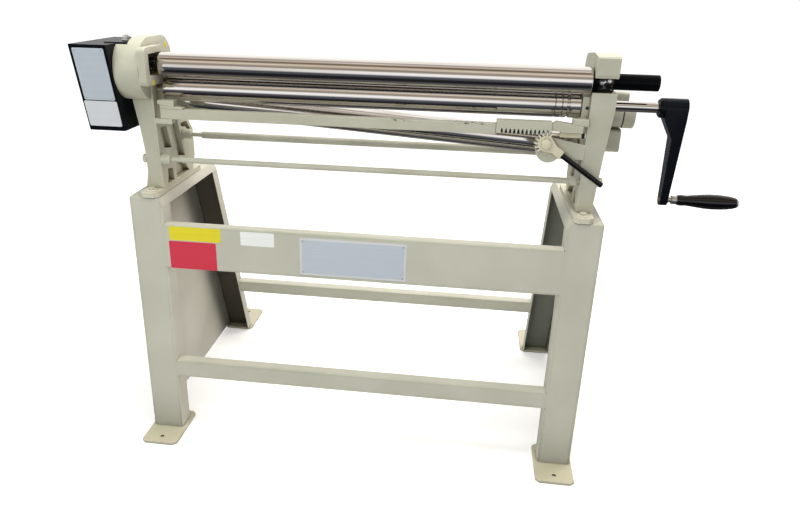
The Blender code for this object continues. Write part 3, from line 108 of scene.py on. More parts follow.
def mixed(tree, factor, first, second):
    """First colour towards the second by factor."""
    return add(tree, "ShaderNodeMix", {"Factor": factor, "A": first, "B": second},
               data_type="RGBA").outputs["Result"]


# Finishes, each named for the real material

def enamel(name, colour, shade, grain, relief, painted_shade_tint, deep, start=0.56, end=0.12,
           worn_edge=linear(0xD2D0C4), painted_bounce_tint=None, behind=None):
    """Two-pack enamel over cast iron or sheet.

    grain is the size in metres of the unevenness under the paint and relief its height: sand-cast
    iron shows 3 mm lumps, folded sheet only the 1.5 mm orange peel of sprayed paint.  Dust and
    painted shade darken the inner corners, the colour given for the hollows paints shade into the
    hollows that the sky light doesn't reach, and the film is thinner and paler on the edges.  deep
    is the reach in metres within which other surfaces cut off the sky; the painted shade begins
    where the open share of the sky there is start and is full at end.  The colour given for the
    foot of a casting is painted bounce light from the floor, which pales it from 0.82 m down to
    0.68 m above the floor.  behind keeps the painted shade to the rear, and to hollows of the piece
    itself: it begins at its first y in metres and is full at its second.
    """
    made, tree, shader = new_finish(name)
    place = add(tree, "ShaderNodeTexCoord").outputs["Object"]
    cloud = add(tree, "ShaderNodeTexNoise", {
        "Vector": place, "Scale": 1 / 0.18, "Detail": 3.0, "Roughness": 0.55}).outputs["Fac"]
    lumps = add(tree, "ShaderNodeTexNoise", {
        "Vector": place, "Scale": 1 / grain, "Detail": 4.0, "Roughness": 0.6}).outputs["Fac"]
    corner = add(tree, "ShaderNodeAmbientOcclusion", {"Distance": 0.012}, samples=4).outputs["AO"]
    edge = add(tree, "ShaderNodeAmbientOcclusion", {"Distance": 0.004}, samples=4,
               inside=True).outputs["AO"]
    body = mixed(tree, ramp(tree, cloud, 0.35, 0.7), colour, shade)
    # Painted bounce light from the floor: the foot of a casting grows paler.
    if painted_bounce_tint:
        height = add(tree, "ShaderNodeSeparateXYZ", {"Vector": place}).outputs["Z"]
        body = mixed(tree, ramp(tree, height, 0.82, 0.68), body, painted_bounce_tint)
    # Dust and painted shade darken the inner corners.
    dust_and_painted_shade = mixed(tree, ramp(tree, corner, 0.75, 0.25), body, linear(0x7C7562))
    # Painted shade in the hollows, where other surfaces within deep cut off the sky.
    inside = add(tree, "ShaderNodeAmbientOcclusion", {"Distance": deep},
                 samples=16 if behind else 6, only_local=bool(behind)).outputs["AO"]
    painted_shade_share = ramp(tree, inside, start, end)
    # The painted shade kept to the rear of the piece.
    if behind:
        depth = add(tree, "ShaderNodeSeparateXYZ", {"Vector": place}).outputs["Y"]
        painted_shade_share = add(tree, "ShaderNodeMath", {0: painted_shade_share, 1: ramp(tree, depth, *behind)},
                    operation="MULTIPLY").outputs[0]
    with_painted_shade = mixed(tree, painted_shade_share, dust_and_painted_shade, painted_shade_tint)
    worn = mixed(tree, ramp(tree, edge, 0.65, 0.3), with_painted_shade, worn_edge)
    tree.links.new(worn, shader.inputs["Base Color"])
    tree.links.new(ramp(tree, lumps, -1.2, 1.6), shader.inputs["Roughness"])
    shader.inputs["Coat Weight"].default_value = 0.15
    shader.inputs["Coat Roughness"].default_value = 0.25
    bump = add(tree, "ShaderNodeBump", {"Height": lumps, "Strength": 0.6, "Distance": relief})
    tree.links.new(bump.outputs["Normal"], shader.inputs["Normal"])
    return made


def cast_enamel(tints):
    """Cast iron under cream-grey enamel, with painted shade in its hollows and painted bounce light paling its
    foot.
    """
    return enamel("enamel_on_cast_iron", tints.paint, linear(0xAEAD9A), 0.0045, 0.0006,
                  linear(0x9C937A), 0.05, worn_edge=linear(0xE4E0D2), painted_bounce_tint=linear(0xDAD4BE))


def sheet_enamel(tints):
    """Folded sheet steel under the same enamel, with near-black painted shade deep in its folds."""
    return enamel("enamel_on_folded_sheet", tints.paint, linear(0xB1B2A2), 0.0018, 0.00010,
                  linear(0x191409), 0.30, 0.65, 0.27)


def rail_enamel(tints):
    """The folded rails: the same paint, with painted shade only inside their narrow channels."""
    return enamel("enamel_on_folded_rail", tints.paint, linear(0xB1B2A2), 0.0018, 0.00010,
                  linear(0x5C5543), 0.05)


def weld_enamel(tints):
    """Thin dressed weld seams: the same paint, without pale edges."""
    return enamel("enamel_on_dressed_weld", tints.paint, linear(0xB1B2A2), 0.0018, 0.00010,
                  linear(0x5C5543), 0.05, worn_edge=tints.paint)


def inside_enamel(tints):
    """Inner faces of the left folded side: the paint darkened to a deep brown painted shade."""
    return enamel("enamel_in_deep_painted_shade", linear(0x595143), linear(0x463E31), 0.0030, 0.00015,
                  linear(0x191409), 0.30, 0.68, 0.20, linear(0x6A6355))


def web_enamel(tints):
    """Inner faces of the folded sides' webs: paler than the paint as painted light, and darkened by painted shade
    towards the rear corner.
    """
    return enamel("enamel_with_painted_rear_shade", linear(0xD3D2C7), linear(0xC6C5B8), 0.0018,
                  0.00010, linear(0x1E190F), 0.30, 0.96, 0.62, behind=(-0.32, -0.17))


def right_inside_enamel(tints):
    """Inner faces of the right folded side: the paint darkened to a grey painted shade."""
    return enamel("enamel_in_grey_painted_shade", linear(0x969A8E), linear(0x83877C), 0.0030, 0.00015,
                  linear(0x464A44), 0.30, 0.68, 0.20, linear(0xA2A69A))


def lever_enamel(tints):
    """Lever, its screw and the bar's right guide, in an older, yellower coat of the same paint."""
    return enamel("yellowed_enamel_on_lever", linear(0xD9D3BB), linear(0xCBC4AA), 0.0035, 0.0003,
                  linear(0x6E6650), 0.02)


def foot_enamel(tints):
    """Flat bar of the foot plates, under the same enamel with brown painted shade in its hollows."""
    return enamel("enamel_on_flat_bar", linear(0xCFCBB4), linear(0xC4BEA4), 0.003, 0.0003,
                  linear(0x6E6650), 0.03)


def rack_enamel(tints):
    """Painted rack block: near-black painted shade fills the slots between its teeth."""
    return enamel("enamel_with_painted_slot_shade", tints.paint, linear(0xB6B6A6), 0.0045, 0.0003,
                  linear(0x0B0A09), 0.011, 0.80, 0.52)


def guide_enamel(tints):
    """Enamel of the sliding bar: black grease is smeared in spots along its upper edge.

    The smear shows in the top 5 mm, in the two places where the bar runs under its guides.
    """
    made = enamel("enamel_on_greased_bar", tints.paint, linear(0xAEAD9A), 0.0045, 0.0004,
                  linear(0x5C5543), 0.05)
    tree, shader = made.node_tree, made.node_tree.nodes["Principled BSDF"]
    place = add(tree, "ShaderNodeTexCoord").outputs["Object"]
    spot = add(tree, "ShaderNodeSeparateXYZ", {"Vector": place})
    specks = add(tree, "ShaderNodeTexNoise", {
        "Vector": add(tree, "ShaderNodeMapping", {
            "Vector": place, "Scale": (1 / 0.011, 1 / 0.006, 1 / 0.006)}).outputs["Vector"],
        "Scale": 1.0, "Detail": 4.0, "Roughness": 0.7}).outputs["Fac"]
    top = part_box("wedge_bar")[1].z
    near_top = ramp(tree, spot.outputs["Z"], top - 0.006, top - 0.002)
    first = mixed(tree, ramp(tree, spot.outputs["X"], 0.205, 0.165),
                  (0, 0, 0, 1), ramp(tree, spot.outputs["X"], 0.09, 0.13))
    second = mixed(tree, ramp(tree, spot.outputs["X"], -0.05, -0.03),
                   (0, 0, 0, 1), ramp(tree, spot.outputs["X"], 0.01, -0.01))
    along = add(tree, "ShaderNodeMath", {0: first, 1: second}, operation="MAXIMUM").outputs[0]
    where = add(tree, "ShaderNodeMath", {0: along, 1: near_top}, operation="MULTIPLY").outputs[0]
    amount = add(tree, "ShaderNodeMath", {0: where, 1: ramp(tree, specks, 0.50, 0.58)},
                 operation="MULTIPLY").outputs[0]
    painted = shader.inputs["Base Color"].links[0].from_socket
    tree.links.new(mixed(tree, amount, painted, linear(0x16150F)), shader.inputs["Base Color"])
    return made


def roll_steel(tints):
    """Rolls of ground and polished carbon steel with an oil film.

    Grinding leaves rings 0.4 mm apart round the roll, drawn 1.2 mm apart so that they show, and
    the oil leaves faint brown streaks along it.
    """
    made, tree, shader = new_finish("ground_and_oiled_steel")
    place = add(tree, "ShaderNodeTexCoord").outputs["Object"]
    rings = add(tree, "ShaderNodeTexNoise", {
        "Vector": add(tree, "ShaderNodeMapping", {
            "Vector": place, "Scale": (1 / 0.0012, 3.0, 3.0)}).outputs["Vector"],
        "Scale": 1.0, "Detail": 2.0}).outputs["Fac"]
    streaks = add(tree, "ShaderNodeTexNoise", {
        "Vector": add(tree, "ShaderNodeMapping", {
            "Vector": place, "Scale": (1.6, 1 / 0.009, 1 / 0.009)}).outputs["Vector"],
        "Scale": 1.0, "Detail": 3.0, "Roughness": 0.5}).outputs["Fac"]
    tint = mixed(tree, ramp(tree, streaks, 0.45, 0.8), tints.steel, linear(0xA89E92))
    tree.links.new(tint, shader.inputs["Base Color"])
    shader.inputs["Metallic"].default_value = 1.0
    tree.links.new(add(tree, "ShaderNodeMapRange", {
        "Value": rings, "From Min": 0.3, "From Max": 0.7, "To Min": 0.07,
        "To Max": 0.14}).outputs["Result"], shader.inputs["Roughness"])
    bump = add(tree, "ShaderNodeBump", {"Height": rings, "Strength": 0.15, "Distance": 0.00004})
    tree.links.new(bump.outputs["Normal"], shader.inputs["Normal"])
    return made


def turned_steel(tints):
    """Bright turned steel of shafts, gears and bearings: fine rings and a thin oil film."""
    made, tree, shader = new_finish("turned_steel")
    place = add(tree, "ShaderNodeTexCoord").outputs["Object"]
    rings = add(tree, "ShaderNodeTexNoise", {
        "Vector": add(tree, "ShaderNodeMapping", {
            "Vector": place, "Scale": (1 / 0.0009, 9.0, 9.0)}).outputs["Vector"],
        "Scale": 1.0, "Detail": 3.0}).outputs["Fac"]
    tint = mixed(tree, ramp(tree, rings, 0.3, 0.7), linear(0xA9A6A0), linear(0xC6C4BE))
    tree.links.new(tint, shader.inputs["Base Color"])
    shader.inputs["Metallic"].default_value = 1.0
    tree.links.new(ramp(tree, rings, -0.6, 2.4), shader.inputs["Roughness"])
    return made


def oily_steel(tints):
    """Machined steel teeth under dark grease: the metal shows only where the grease is thin."""
    made, tree, shader = new_finish("greased_steel_teeth")
    place = add(tree, "ShaderNodeTexCoord").outputs["Object"]
    smear = add(tree, "ShaderNodeTexNoise", {
        "Vector": place, "Scale": 1 / 0.006, "Detail": 4.0}).outputs["Fac"]
    tree.links.new(mixed(tree, ramp(tree, smear, 0.35, 0.75), linear(0x15130F), linear(0x4A463C)),
                   shader.inputs["Base Color"])
    shader.inputs["Metallic"].default_value = 0.4
    shader.inputs["Roughness"].default_value = 0.3
    return made


def zinc(tints):
    """Bolts, washers and nipples of zinc-plated steel: a faintly blue, slightly cloudy bright film."""
    made, tree, shader = new_finish("bright_zinc_plate")
    place = add(tree, "ShaderNodeTexCoord").outputs["Object"]
    cloud = add(tree, "ShaderNodeTexNoise", {
        "Vector": place, "Scale": 1 / 0.004, "Detail": 3.0}).outputs["Fac"]
    tree.links.new(mixed(tree, ramp(tree, cloud, 0.3, 0.7), linear(0xE6E8EA), linear(0xCDCCC6)),
                   shader.inputs["Base Color"])
    shader.inputs["Metallic"].default_value = 1.0
    tree.links.new(ramp(tree, cloud, -0.5, 2.0), shader.inputs["Roughness"])
    return made


def black_film(name, colour, pale, grain, relief, rough, coat, shine=0.10):
    """Black finish whose grain lifts a little light: grain in metres, relief in metres."""
    made, tree, shader = new_finish(name)
    place = add(tree, "ShaderNodeTexCoord").outputs["Object"]
    fine = add(tree, "ShaderNodeTexNoise", {
        "Vector": place, "Scale": 1 / grain, "Detail": 3.0}).outputs["Fac"]
    wide = add(tree, "ShaderNodeTexNoise", {
        "Vector": place, "Scale": 1 / 0.05, "Detail": 3.0}).outputs["Fac"]
    edge = add(tree, "ShaderNodeAmbientOcclusion", {"Distance": 0.003}, samples=4,
               inside=True).outputs["AO"]
    tint = mixed(tree, ramp(tree, wide, 0.3, 0.75), colour, pale)
    tree.links.new(mixed(tree, ramp(tree, edge, 0.55, 0.2), tint, linear(0x24262A)),
                   shader.inputs["Base Color"])
    tree.links.new(add(tree, "ShaderNodeMapRange", {
        "Value": fine, "From Min": 0.3, "From Max": 0.7, "To Min": rough - 0.05,
        "To Max": rough + 0.06}).outputs["Result"], shader.inputs["Roughness"])
    shader.inputs["Coat Weight"].default_value = coat
    shader.inputs["Coat Roughness"].default_value = 0.12
    shader.inputs["Specular IOR Level"].default_value = shine
    bump = add(tree, "ShaderNodeBump", {"Height": fine, "Strength": 0.5, "Distance": relief})
    tree.links.new(bump.outputs["Normal"], shader.inputs["Normal"])
    return made


def cover_black(tints):
    """Sheet cover in satin black powder coat: 0.8 mm orange peel."""
    return black_film("satin_black_powder_coat", tints.cover, linear(0x0C1118), 0.0011, 0.00007,
                      0.42, 0.0)


def crank_black(tints):
    """Cast crank in black enamel, thinner at the edges."""
    return black_film("black_enamel_on_iron", linear(0x060910), linear(0x0D1118), 0.003, 0.00006,
                      0.28, 0.03)


def grip_black(tints):
    """Moulded phenolic grips: deep black with a hard gloss."""
    return black_film("moulded_black_phenolic", linear(0x050507), linear(0x0B0B0D), 0.0015,
                      0.00002, 0.16, 0.6)


def handle_black(tints):
    """Black oxide on the turned handle and journal: blue-black with a waxy oil shine."""
    return black_film("black_oxide_on_turned_steel", linear(0x040506), linear(0x0A0B0E), 0.002,
                      0.00003, 0.3, 0.0, 0.05)


def journal_black(tints):
    """Journal and bearing grease: black, uneven and wet, with bare steel in a few worn spots."""
    made, tree, shader = new_finish("greased_black_journal")
    place = add(tree, "ShaderNodeTexCoord").outputs["Object"]
    wear = add(tree, "ShaderNodeTexNoise", {
        "Vector": place, "Scale": 1 / 0.012, "Detail": 3.0, "Roughness": 0.6}).outputs["Fac"]
    bare = ramp(tree, wear, 0.56, 0.60)
    tree.links.new(mixed(tree, bare, linear(0x09090A), linear(0xC9C7C2)),
                   shader.inputs["Base Color"])
    tree.links.new(bare, shader.inputs["Metallic"])
    shader.inputs["Roughness"].default_value = 0.3
    return made


def bronze(tints):
    """Cast bearing bronze, oiled and slightly browned."""
    made, tree, shader = new_finish("bearing_bronze")
    place = add(tree, "ShaderNodeTexCoord").outputs["Object"]
    cloud = add(tree, "ShaderNodeTexNoise", {
        "Vector": place, "Scale": 1 / 0.007, "Detail": 3.0}).outputs["Fac"]
    tree.links.new(mixed(tree, ramp(tree, cloud, 0.3, 0.7), linear(0xB08A4E), linear(0x7E5C33)),
                   shader.inputs["Base Color"])
    shader.inputs["Metallic"].default_value = 1.0
    shader.inputs["Roughness"].default_value = 0.32
    return made


def lacquered(name, colour, metal=0.0, rough=0.3):
    """Flat lacquered or anodised plate: a faint brush grain 0.3 mm apart, drawn 1 mm apart."""
    made, tree, shader = new_finish(name)
    place = add(tree, "ShaderNodeTexCoord").outputs["Object"]
    grain = add(tree, "ShaderNodeTexNoise", {
        "Vector": add(tree, "ShaderNodeMapping", {
            "Vector": place, "Scale": (6.0, 1 / 0.001, 1 / 0.001)}).outputs["Vector"],
        "Scale": 1.0, "Detail": 2.0}).outputs["Fac"]
    paler = tuple(min(1.0, c * 1.08) for c in colour[:3]) + (1.0,)
    tree.links.new(mixed(tree, ramp(tree, grain, 0.3, 0.7), colour, paler),
                   shader.inputs["Base Color"])
    shader.inputs["Metallic"].default_value = metal
    shader.inputs["Roughness"].default_value = rough
    return made


FINISHES = {
    "cast": cast_enamel, "sheet": sheet_enamel, "rail": rail_enamel, "foot": foot_enamel,
    "weld": weld_enamel, "inner": inside_enamel, "inner_right": right_inside_enamel, "web": web_enamel,
    "lever": lever_enamel,
    "rack": rack_enamel, "bar": guide_enamel,
    "roll": roll_steel, "journal": journal_black,
    "turned": turned_steel, "oily": oily_steel, "zinc": zinc, "cover": cover_black,
    "crank": crank_black, "grip": grip_black, "handle": handle_black, "bronze": bronze,
    "anodised": lambda t: lacquered("anodised_aluminium_plate", t.plate, 0.25, 0.32),
    "plate_edge": lambda t: lacquered("bright_aluminium_rim", linear(0xE9ECF0), 0.3, 0.3),
    "print": lambda t: lacquered("bare_printed_panel", linear(0xD3D6DC), 0.0, 0.35),
    "yellow": lambda t: lacquered("yellow_vinyl", t.yellow, 0.0, 0.35),
    "red": lambda t: lacquered("red_vinyl", t.red, 0.0, 0.35),
    "white": lambda t: lacquered("white_vinyl", linear(0xEDEFEF), 0.0, 0.35),
    # Flat black of painted shadow, put in the rack's slots and the knob's groove.
    "grease": lambda t: lacquered("black_painted_shadow", linear(0x0E0D0B), 0.0, 0.35),
}
made_finishes = {}


def finish_of(name):
    """The finish by its short name, made once."""
    if name not in made_finishes:
        made_finishes[name] = FINISHES[name](bpy.context.scene.slip_roll_colours)
    return made_finishes[name]


# Shapes

def basis(axis):
    """Two unit vectors square to the axis and to each other."""
    along = np.array(axis, float)
    along /= np.linalg.norm(along)
    helper = np.array((0.0, 0.0, 1.0)) if abs(along[2]) < 0.9 else np.array((1.0, 0.0, 0.0))
    across = np.cross(helper, along)
    across /= np.linalg.norm(across)
    return along, across, np.cross(along, across)


def grid_faces(rows, columns, close_rows=False, close_columns=False):
    """Quads between neighbours of a grid of points; a closed direction joins last to first."""
    r = np.arange(rows if close_rows else rows - 1)[:, None]
    c = np.arange(columns if close_columns else columns - 1)[None]
    up, right = (r + 1) % rows, (c + 1) % columns
    corners = (r * columns + c, r * columns + right, up * columns + right, up * columns + c)
    return np.stack(np.broadcast_arrays(*corners), -1).reshape(-1, 4)


def signed_volume(points, faces):
    """A sixth of the sum of a . (b x c) over the faces cut into triangles from their first corner."""
    total = 0.0
    for group in faces:
        corners = points[group]
        for k in range(1, group.shape[1] - 1):
            total += float(np.einsum("ij,ij->i", corners[:, 0],
                                     np.cross(corners[:, k], corners[:, k + 1])).sum()) / 6
    return total


def piece(name, points, faces, look, body, node=None, slot=None, smooth=38):
    """Mesh object from arrays, turned to face outwards, with its finish, body and CAD node."""
    points = np.asarray(points, float)
    middle = points.mean(0)
    if signed_volume(points - middle, faces) < 0:
        faces = [group[:, ::-1] for group in faces]
    mesh = bpy.data.meshes.new(name)
    mesh.from_pydata(points.tolist(), [], [face for group in faces for face in group.tolist()])
    mesh.shade_smooth()
    mesh.set_sharp_from_angle(angle=math.radians(smooth))
    return place(name, mesh, look, body, node, slot)


def place(name, mesh, look, body, node=None, slot=None):
    """Links a mesh as a piece that rides on a body and may stand for CAD nodes."""
    obj = bpy.data.objects.new(name, mesh)
    bpy.context.scene.collection.objects.link(obj)
    mesh.materials.append(finish_of(look))
    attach(obj, body)
    for hidden in ([node] if isinstance(node, str) else node or []):
        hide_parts(hidden)
    return obj


def eased(profile, radius, steps=4):
    """Profile with each inner corner P replaced by the curve (1-t)^2 A + 2t(1-t) P + t^2 B.

    A and B lie radius away from P on its two sides, or 0.45 of the side where that is shorter.
    """
    points = np.asarray(profile, float)
    before, after = points[:-2] - points[1:-1], points[2:] - points[1:-1]
    long_before = np.linalg.norm(before, axis=1, keepdims=True)
    long_after = np.linalg.norm(after, axis=1, keepdims=True)
    reach = np.minimum(radius, 0.45 * np.minimum(long_before, long_after))
    start = (points[1:-1] + before / long_before * reach)[:, None]
    end = (points[1:-1] + after / long_after * reach)[:, None]
    t = np.linspace(0, 1, steps)[None, :, None]
    curve = (1 - t) ** 2 * start + 2 * t * (1 - t) * points[1:-1][:, None] + t ** 2 * end
    return np.vstack((points[:1], curve.reshape(-1, 2), points[-1:]))


def turned_shape(centre, axis, profile, steps=96, ring=False, flutes=0, depth=0.0):
    """Points centre + s*axis + r(1 - depth*max(0, cos(flutes*a)))*(cos a * u + sin a * v).

    (s, r) runs along the profile and a goes round.  An end with r = 0 is one closed pole, and a
    ring joins its last profile point to its first.
    """
    profile = np.asarray(profile, float)
    along, u, v = basis(axis)
    start_pole = not ring and profile[0, 1] < 1e-9
    end_pole = not ring and profile[-1, 1] < 1e-9
    body = profile[1 if start_pole else 0:len(profile) - 1 if end_pole else len(profile)]
    angle = np.linspace(0, math.tau, steps, endpoint=False)
    round_ = np.cos(angle)[:, None] * u + np.sin(angle)[:, None] * v
    wave = 1 - depth * np.maximum(0, np.cos(flutes * angle)) if flutes else np.ones(steps)
    points = (np.array(centre, float) + body[:, 0, None, None] * along
              + body[:, 1, None, None] * wave[None, :, None] * round_[None]).reshape(-1, 3)
    faces = [grid_faces(len(body), steps, close_rows=ring, close_columns=True)]
    first = np.arange(steps)
    following = (first + 1) % steps
    caps = []
    if start_pole:
        caps.append(np.stack((following, first, np.full(steps, len(points))), -1))
        points = np.vstack((points, np.array(centre) + profile[0, 0] * along))
    if end_pole:
        last = (len(body) - 1) * steps
        caps.append(np.stack((last + first, last + following, np.full(steps, len(points))), -1))
        points = np.vstack((points, np.array(centre) + profile[-1, 0] * along))
    return points, faces + caps


def turned(name, centre, axis, profile, look, body, node=None, slot=None, **more):
    """A turned piece from its profile of (place along the axis, radius)."""
    points, faces = turned_shape(centre, axis, profile, **more)
    return piece(name, points, faces, look, body, node, slot)


def joined(*shapes):
    """Several closed shapes as one array of points and lists of faces."""
    points, faces, count = [], [], 0
    for shape_points, shape_faces in shapes:
        if signed_volume(shape_points - shape_points.mean(0), shape_faces) < 0:
            shape_faces = [group[:, ::-1] for group in shape_faces]
        points.append(shape_points)
        faces += [group + count for group in shape_faces]
        count += len(shape_points)
    return np.vstack(points), faces


def hexagon_shape(centre, axis, flats, height, steps=48):
    """Hexagon head: radius at angle a is (flats/2)/cos(((a+30) mod 60)-30), top chamfered at 30 degrees.

    Rows go from the underside up the sides to the chamfer and the flat top.
    """
    along, u, v = basis(axis)
    angle = np.linspace(0, math.tau, steps, endpoint=False)
    reach = flats / 2 / np.cos((angle + math.pi / 6) % (math.pi / 3) - math.pi / 6)
    land = flats / 2 * 0.95
    drop = (reach - land) * math.tan(math.radians(30))
    round_ = np.cos(angle)[:, None] * u + np.sin(angle)[:, None] * v
    rows = [reach[:, None] * round_,
            reach[:, None] * round_ + (height - drop)[:, None] * along,
            land * round_ + height * along]
    points = np.vstack(rows) + np.array(centre, float)
    faces = [grid_faces(3, steps, close_columns=True)]
    first = np.arange(steps)
    following = (first + 1) % steps
    bottom, top = len(points), len(points) + 1
    caps = [np.stack((following, first, np.full(steps, bottom)), -1),
            np.stack((2 * steps + first, 2 * steps + following, np.full(steps, top)), -1)]
    points = np.vstack((points, centre, np.array(centre, float) + height * along))
    return points, faces + caps


def plate_shape(corner, across, up, width, height, thick, radius, steps=6):
    """Thin plate: a rectangle with round corners, lifted by thick, its top edge eased in.

    Each outline point is corner + x*across + y*up; rows are the underside, the side and two
    steps of the eased edge, and the top closes at its middle.
    """
    across, up = np.array(across, float), np.array(up, float)
    out = np.cross(across, up)
    turn = np.linspace(0, math.pi / 2, steps)
    starts = np.array((0, 1, 2, 3))[:, None] * math.pi / 2 + turn[None]
    hold = np.array(((1, 1), (-1, 1), (-1, -1), (1, -1)), float)

    def outline(inset):
        r = max(radius - inset, radius * 0.2)
        half = np.array((width / 2 - inset - r, height / 2 - inset - r))
        xy = hold[:, None] * half + r * np.stack((np.cos(starts), np.sin(starts)), -1)
        return xy.reshape(-1, 2) + np.array((width / 2, height / 2))

    ease = min(thick * 0.4, radius * 0.5)
    rows = [(outline(0), 0.0), (outline(0), thick - ease), (outline(ease * 0.3), thick - ease * 0.3),
            (outline(ease), thick)]
    flat = [np.array(corner) + xy[:, :1] * across + xy[:, 1:] * up + lift * out for xy, lift in rows]
    count = 4 * steps
    points = np.vstack(flat)
    first = np.arange(count)
    following = (first + 1) % count
    middle = np.array(corner) + width / 2 * across + height / 2 * up
    faces = [grid_faces(4, count, close_columns=True),
             np.stack((following, first, np.full(count, len(points))), -1),
             np.stack((3 * count + first, 3 * count + following, np.full(count, len(points) + 1)), -1)]
    return np.vstack((points, middle, middle + thick * out)), faces


def softened(node, look, width, segments=3, corner=30, welded_ends=False, inner_looks=()):
    """Copy of a CAD solid with its edges rounded.

    Loose triangles are merged and flat areas joined.  Each edge sharper than corner gets the
    bevel width, or less where a face beside it is narrow: 0.4 of that face's width, taken as
    twice its area over its outline.  Welded ends, in the planes of the lowest and highest x, keep
    square edges.  Faces that look at another face of their own solid get the first of the inner
    looks, and the web's face towards the middle of the machine the second.
    """
    shape = bmesh.new()
    shape.from_mesh(NODES[node].data)
    bmesh.ops.remove_doubles(shape, verts=shape.verts, dist=2e-6)
    bmesh.ops.dissolve_limit(shape, angle_limit=math.radians(0.6), verts=shape.verts,
                             edges=shape.edges)
    shape.normal_update()
    weight = shape.edges.layers.float.new("bevel_weight_edge")
    narrow = {face: 2 * face.calc_area() / max(face.calc_perimeter(), 1e-9) for face in shape.faces}
    low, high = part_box(node)
    for edge in shape.edges:
        at_end = any(all(abs(v.co.x - x) < 1e-4 for v in edge.verts) for x in (low.x, high.x))
        if welded_ends and at_end:
            continue
        if len(edge.link_faces) == 2 and edge.calc_face_angle(0) > math.radians(corner):
            edge[weight] = min(1.0, 0.4 * min(narrow[face] for face in edge.link_faces) / width)
    # The inner looks are the paint darkened as painted shade, for faces in the shade of their own solid; the web's
    # look also carries painted light in front.
    if inner_looks:
        tree = BVHTree.FromBMesh(shape)
        for face in shape.faces:
            spot = face.calc_center_median_weighted() + face.normal * 0.001
            face.material_index = int(tree.ray_cast(spot, face.normal, 0.7)[0] is not None)
            if face.calc_area() > 0.05 and face.normal.x * (low.x + high.x) < -0.5:
                face.material_index = 2
    mesh = bpy.data.meshes.new(node + "_finished")
    shape.to_mesh(mesh)
    shape.free()
    mesh.shade_smooth()
    mesh.set_sharp_from_angle(angle=math.radians(corner))
    made = place(node + "_finished", mesh, look, BODY_OF[node], node)
    for inner in inner_looks:
        mesh.materials.append(finish_of(inner))
    bevel = made.modifiers.new("Rounded edges", "BEVEL")
    bevel.width = width
    bevel.segments = segments
    bevel.limit_method = "WEIGHT"
    bevel.harden_normals = True
    bevel.use_clamp_overlap = True
    return made


def middle_of(node):
    """Centre of a CAD node's box."""
    low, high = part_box(node)
    return (low + high) / 2


# Sizes and colours a user would change

class SlipRollSizes(bpy.types.PropertyGroup):
    """Sizes of what is laid on the fixed solids."""

    cast_edge: FloatProperty(name="Cast edge radius", description="Rounding of the castings' edges",
                             default=0.0035, min=0.0005, max=0.01, unit="LENGTH")
    bend_radius: FloatProperty(name="Bend radius", description="Outer radius of the folded sheet",
                               default=0.0042, min=0.001, max=0.01, unit="LENGTH")
    machined_edge: FloatProperty(name="Machined edge", description="Broken edge of machined steel",
                                 default=0.0009, min=0.0002, max=0.003, unit="LENGTH")
    roll_radius: FloatProperty(name="Roll radius", description="Radius of the three rolls",
                               default=round((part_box("top_roll")[1].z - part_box("top_roll")[0].z) / 2, 5),
                               min=0.01, max=0.1, unit="LENGTH")
    roll_chamfer: FloatProperty(name="Roll chamfer", description="Broken edge at the rolls' ends",
                                default=0.002, min=0.0, max=0.01, unit="LENGTH")
    groove_depth: FloatProperty(name="Wire groove depth", description="Depth of the wire grooves",
                                default=0.003, min=0.0, max=0.01, unit="LENGTH")
    plate_thickness: FloatProperty(name="Plate thickness", description="Thickness of the bare plates",
                                   default=0.0008, min=0.0002, max=0.003, unit="LENGTH")


class SlipRollColours(bpy.types.PropertyGroup):
    """Colours of the finishes."""

    paint: FloatVectorProperty(name="Paint", description="Cream-grey machine enamel", size=4,
                               subtype="COLOR", default=linear(0xC1C1B2), min=0, max=1)
    steel: FloatVectorProperty(name="Steel", description="Ground roll steel", size=4,
                               subtype="COLOR", default=linear(0xD3D0CB), min=0, max=1)
    cover: FloatVectorProperty(name="Cover", description="Black powder coat", size=4,
                               subtype="COLOR", default=linear(0x070B12), min=0, max=1)
    plate: FloatVectorProperty(name="Plate", description="Bare anodised plates", size=4,
                               subtype="COLOR", default=linear(0xCFD8E4), min=0, max=1)
    yellow: FloatVectorProperty(name="Yellow", description="Bare yellow plate", size=4,
                                subtype="COLOR", default=linear(0xE3D51F), min=0, max=1)
    red: FloatVectorProperty(name="Red", description="Bare red plate", size=4,
                             subtype="COLOR", default=linear(0xD3324A), min=0, max=1)


# Operators, one for each piece or group of like pieces

class SLIPROLL_OT_stand(bpy.types.Operator):
    """Folded sheet stand, rails and foot plates"""

    bl_idname = "sliproll.stand"
    bl_label = "Stand"

    def execute(self, context):
        sizes = context.scene.slip_roll_sizes
        softened("stand_side_left", "sheet", sizes.bend_radius, inner_looks=("inner", "web"))
        softened("stand_side_right", "sheet", sizes.bend_radius, inner_looks=("inner_right", "web"))
        for node in ("upper_front_rail", "lower_front_rail", "rear_rail"):
            softened(node, "rail", sizes.bend_radius, welded_ends=True)
        for node in ("upper_front_rail", "lower_front_rail"):
            dressed_welds(node, sizes.bend_radius)
        for node in ("foot_front_left", "foot_front_right", "foot_rear_left", "foot_rear_right"):
            softened(node, "foot", sizes.machined_edge)
        return {"FINISHED"}


def dressed_welds(node, bend):
    """Ground-flush weld seams where a front rail meets the sides: flat strips 0.25 mm proud."""
    low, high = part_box(node)
    for end, x in (("left", low.x), ("right", high.x)):
        start = x - bend * 1.5 if end == "left" else x - bend * 1.2
        shape = plate_shape((start, low.y + 0.0002, low.z + bend), X_AXIS, Z_AXIS, bend * 2.7,
                            high.z - low.z - bend * 2, 0.00045, 0.0008)
        piece(f"{node}_weld_{end}", *shape, "weld", "frame", smooth=12)


class SLIPROLL_OT_castings(bpy.types.Operator):
    """Cast frames and the painted pieces on them"""

    bl_idname = "sliproll.castings"
    bl_label = "Castings"

    def execute(self, context):
        sizes = context.scene.slip_roll_sizes
        for node in ("left_head_casting", "right_frame_casting", "roll_hook",
                     "rear_bearing_housing", "lever_bracket"):
            softened(node, "cast", sizes.cast_edge)
        return {"FINISHED"}


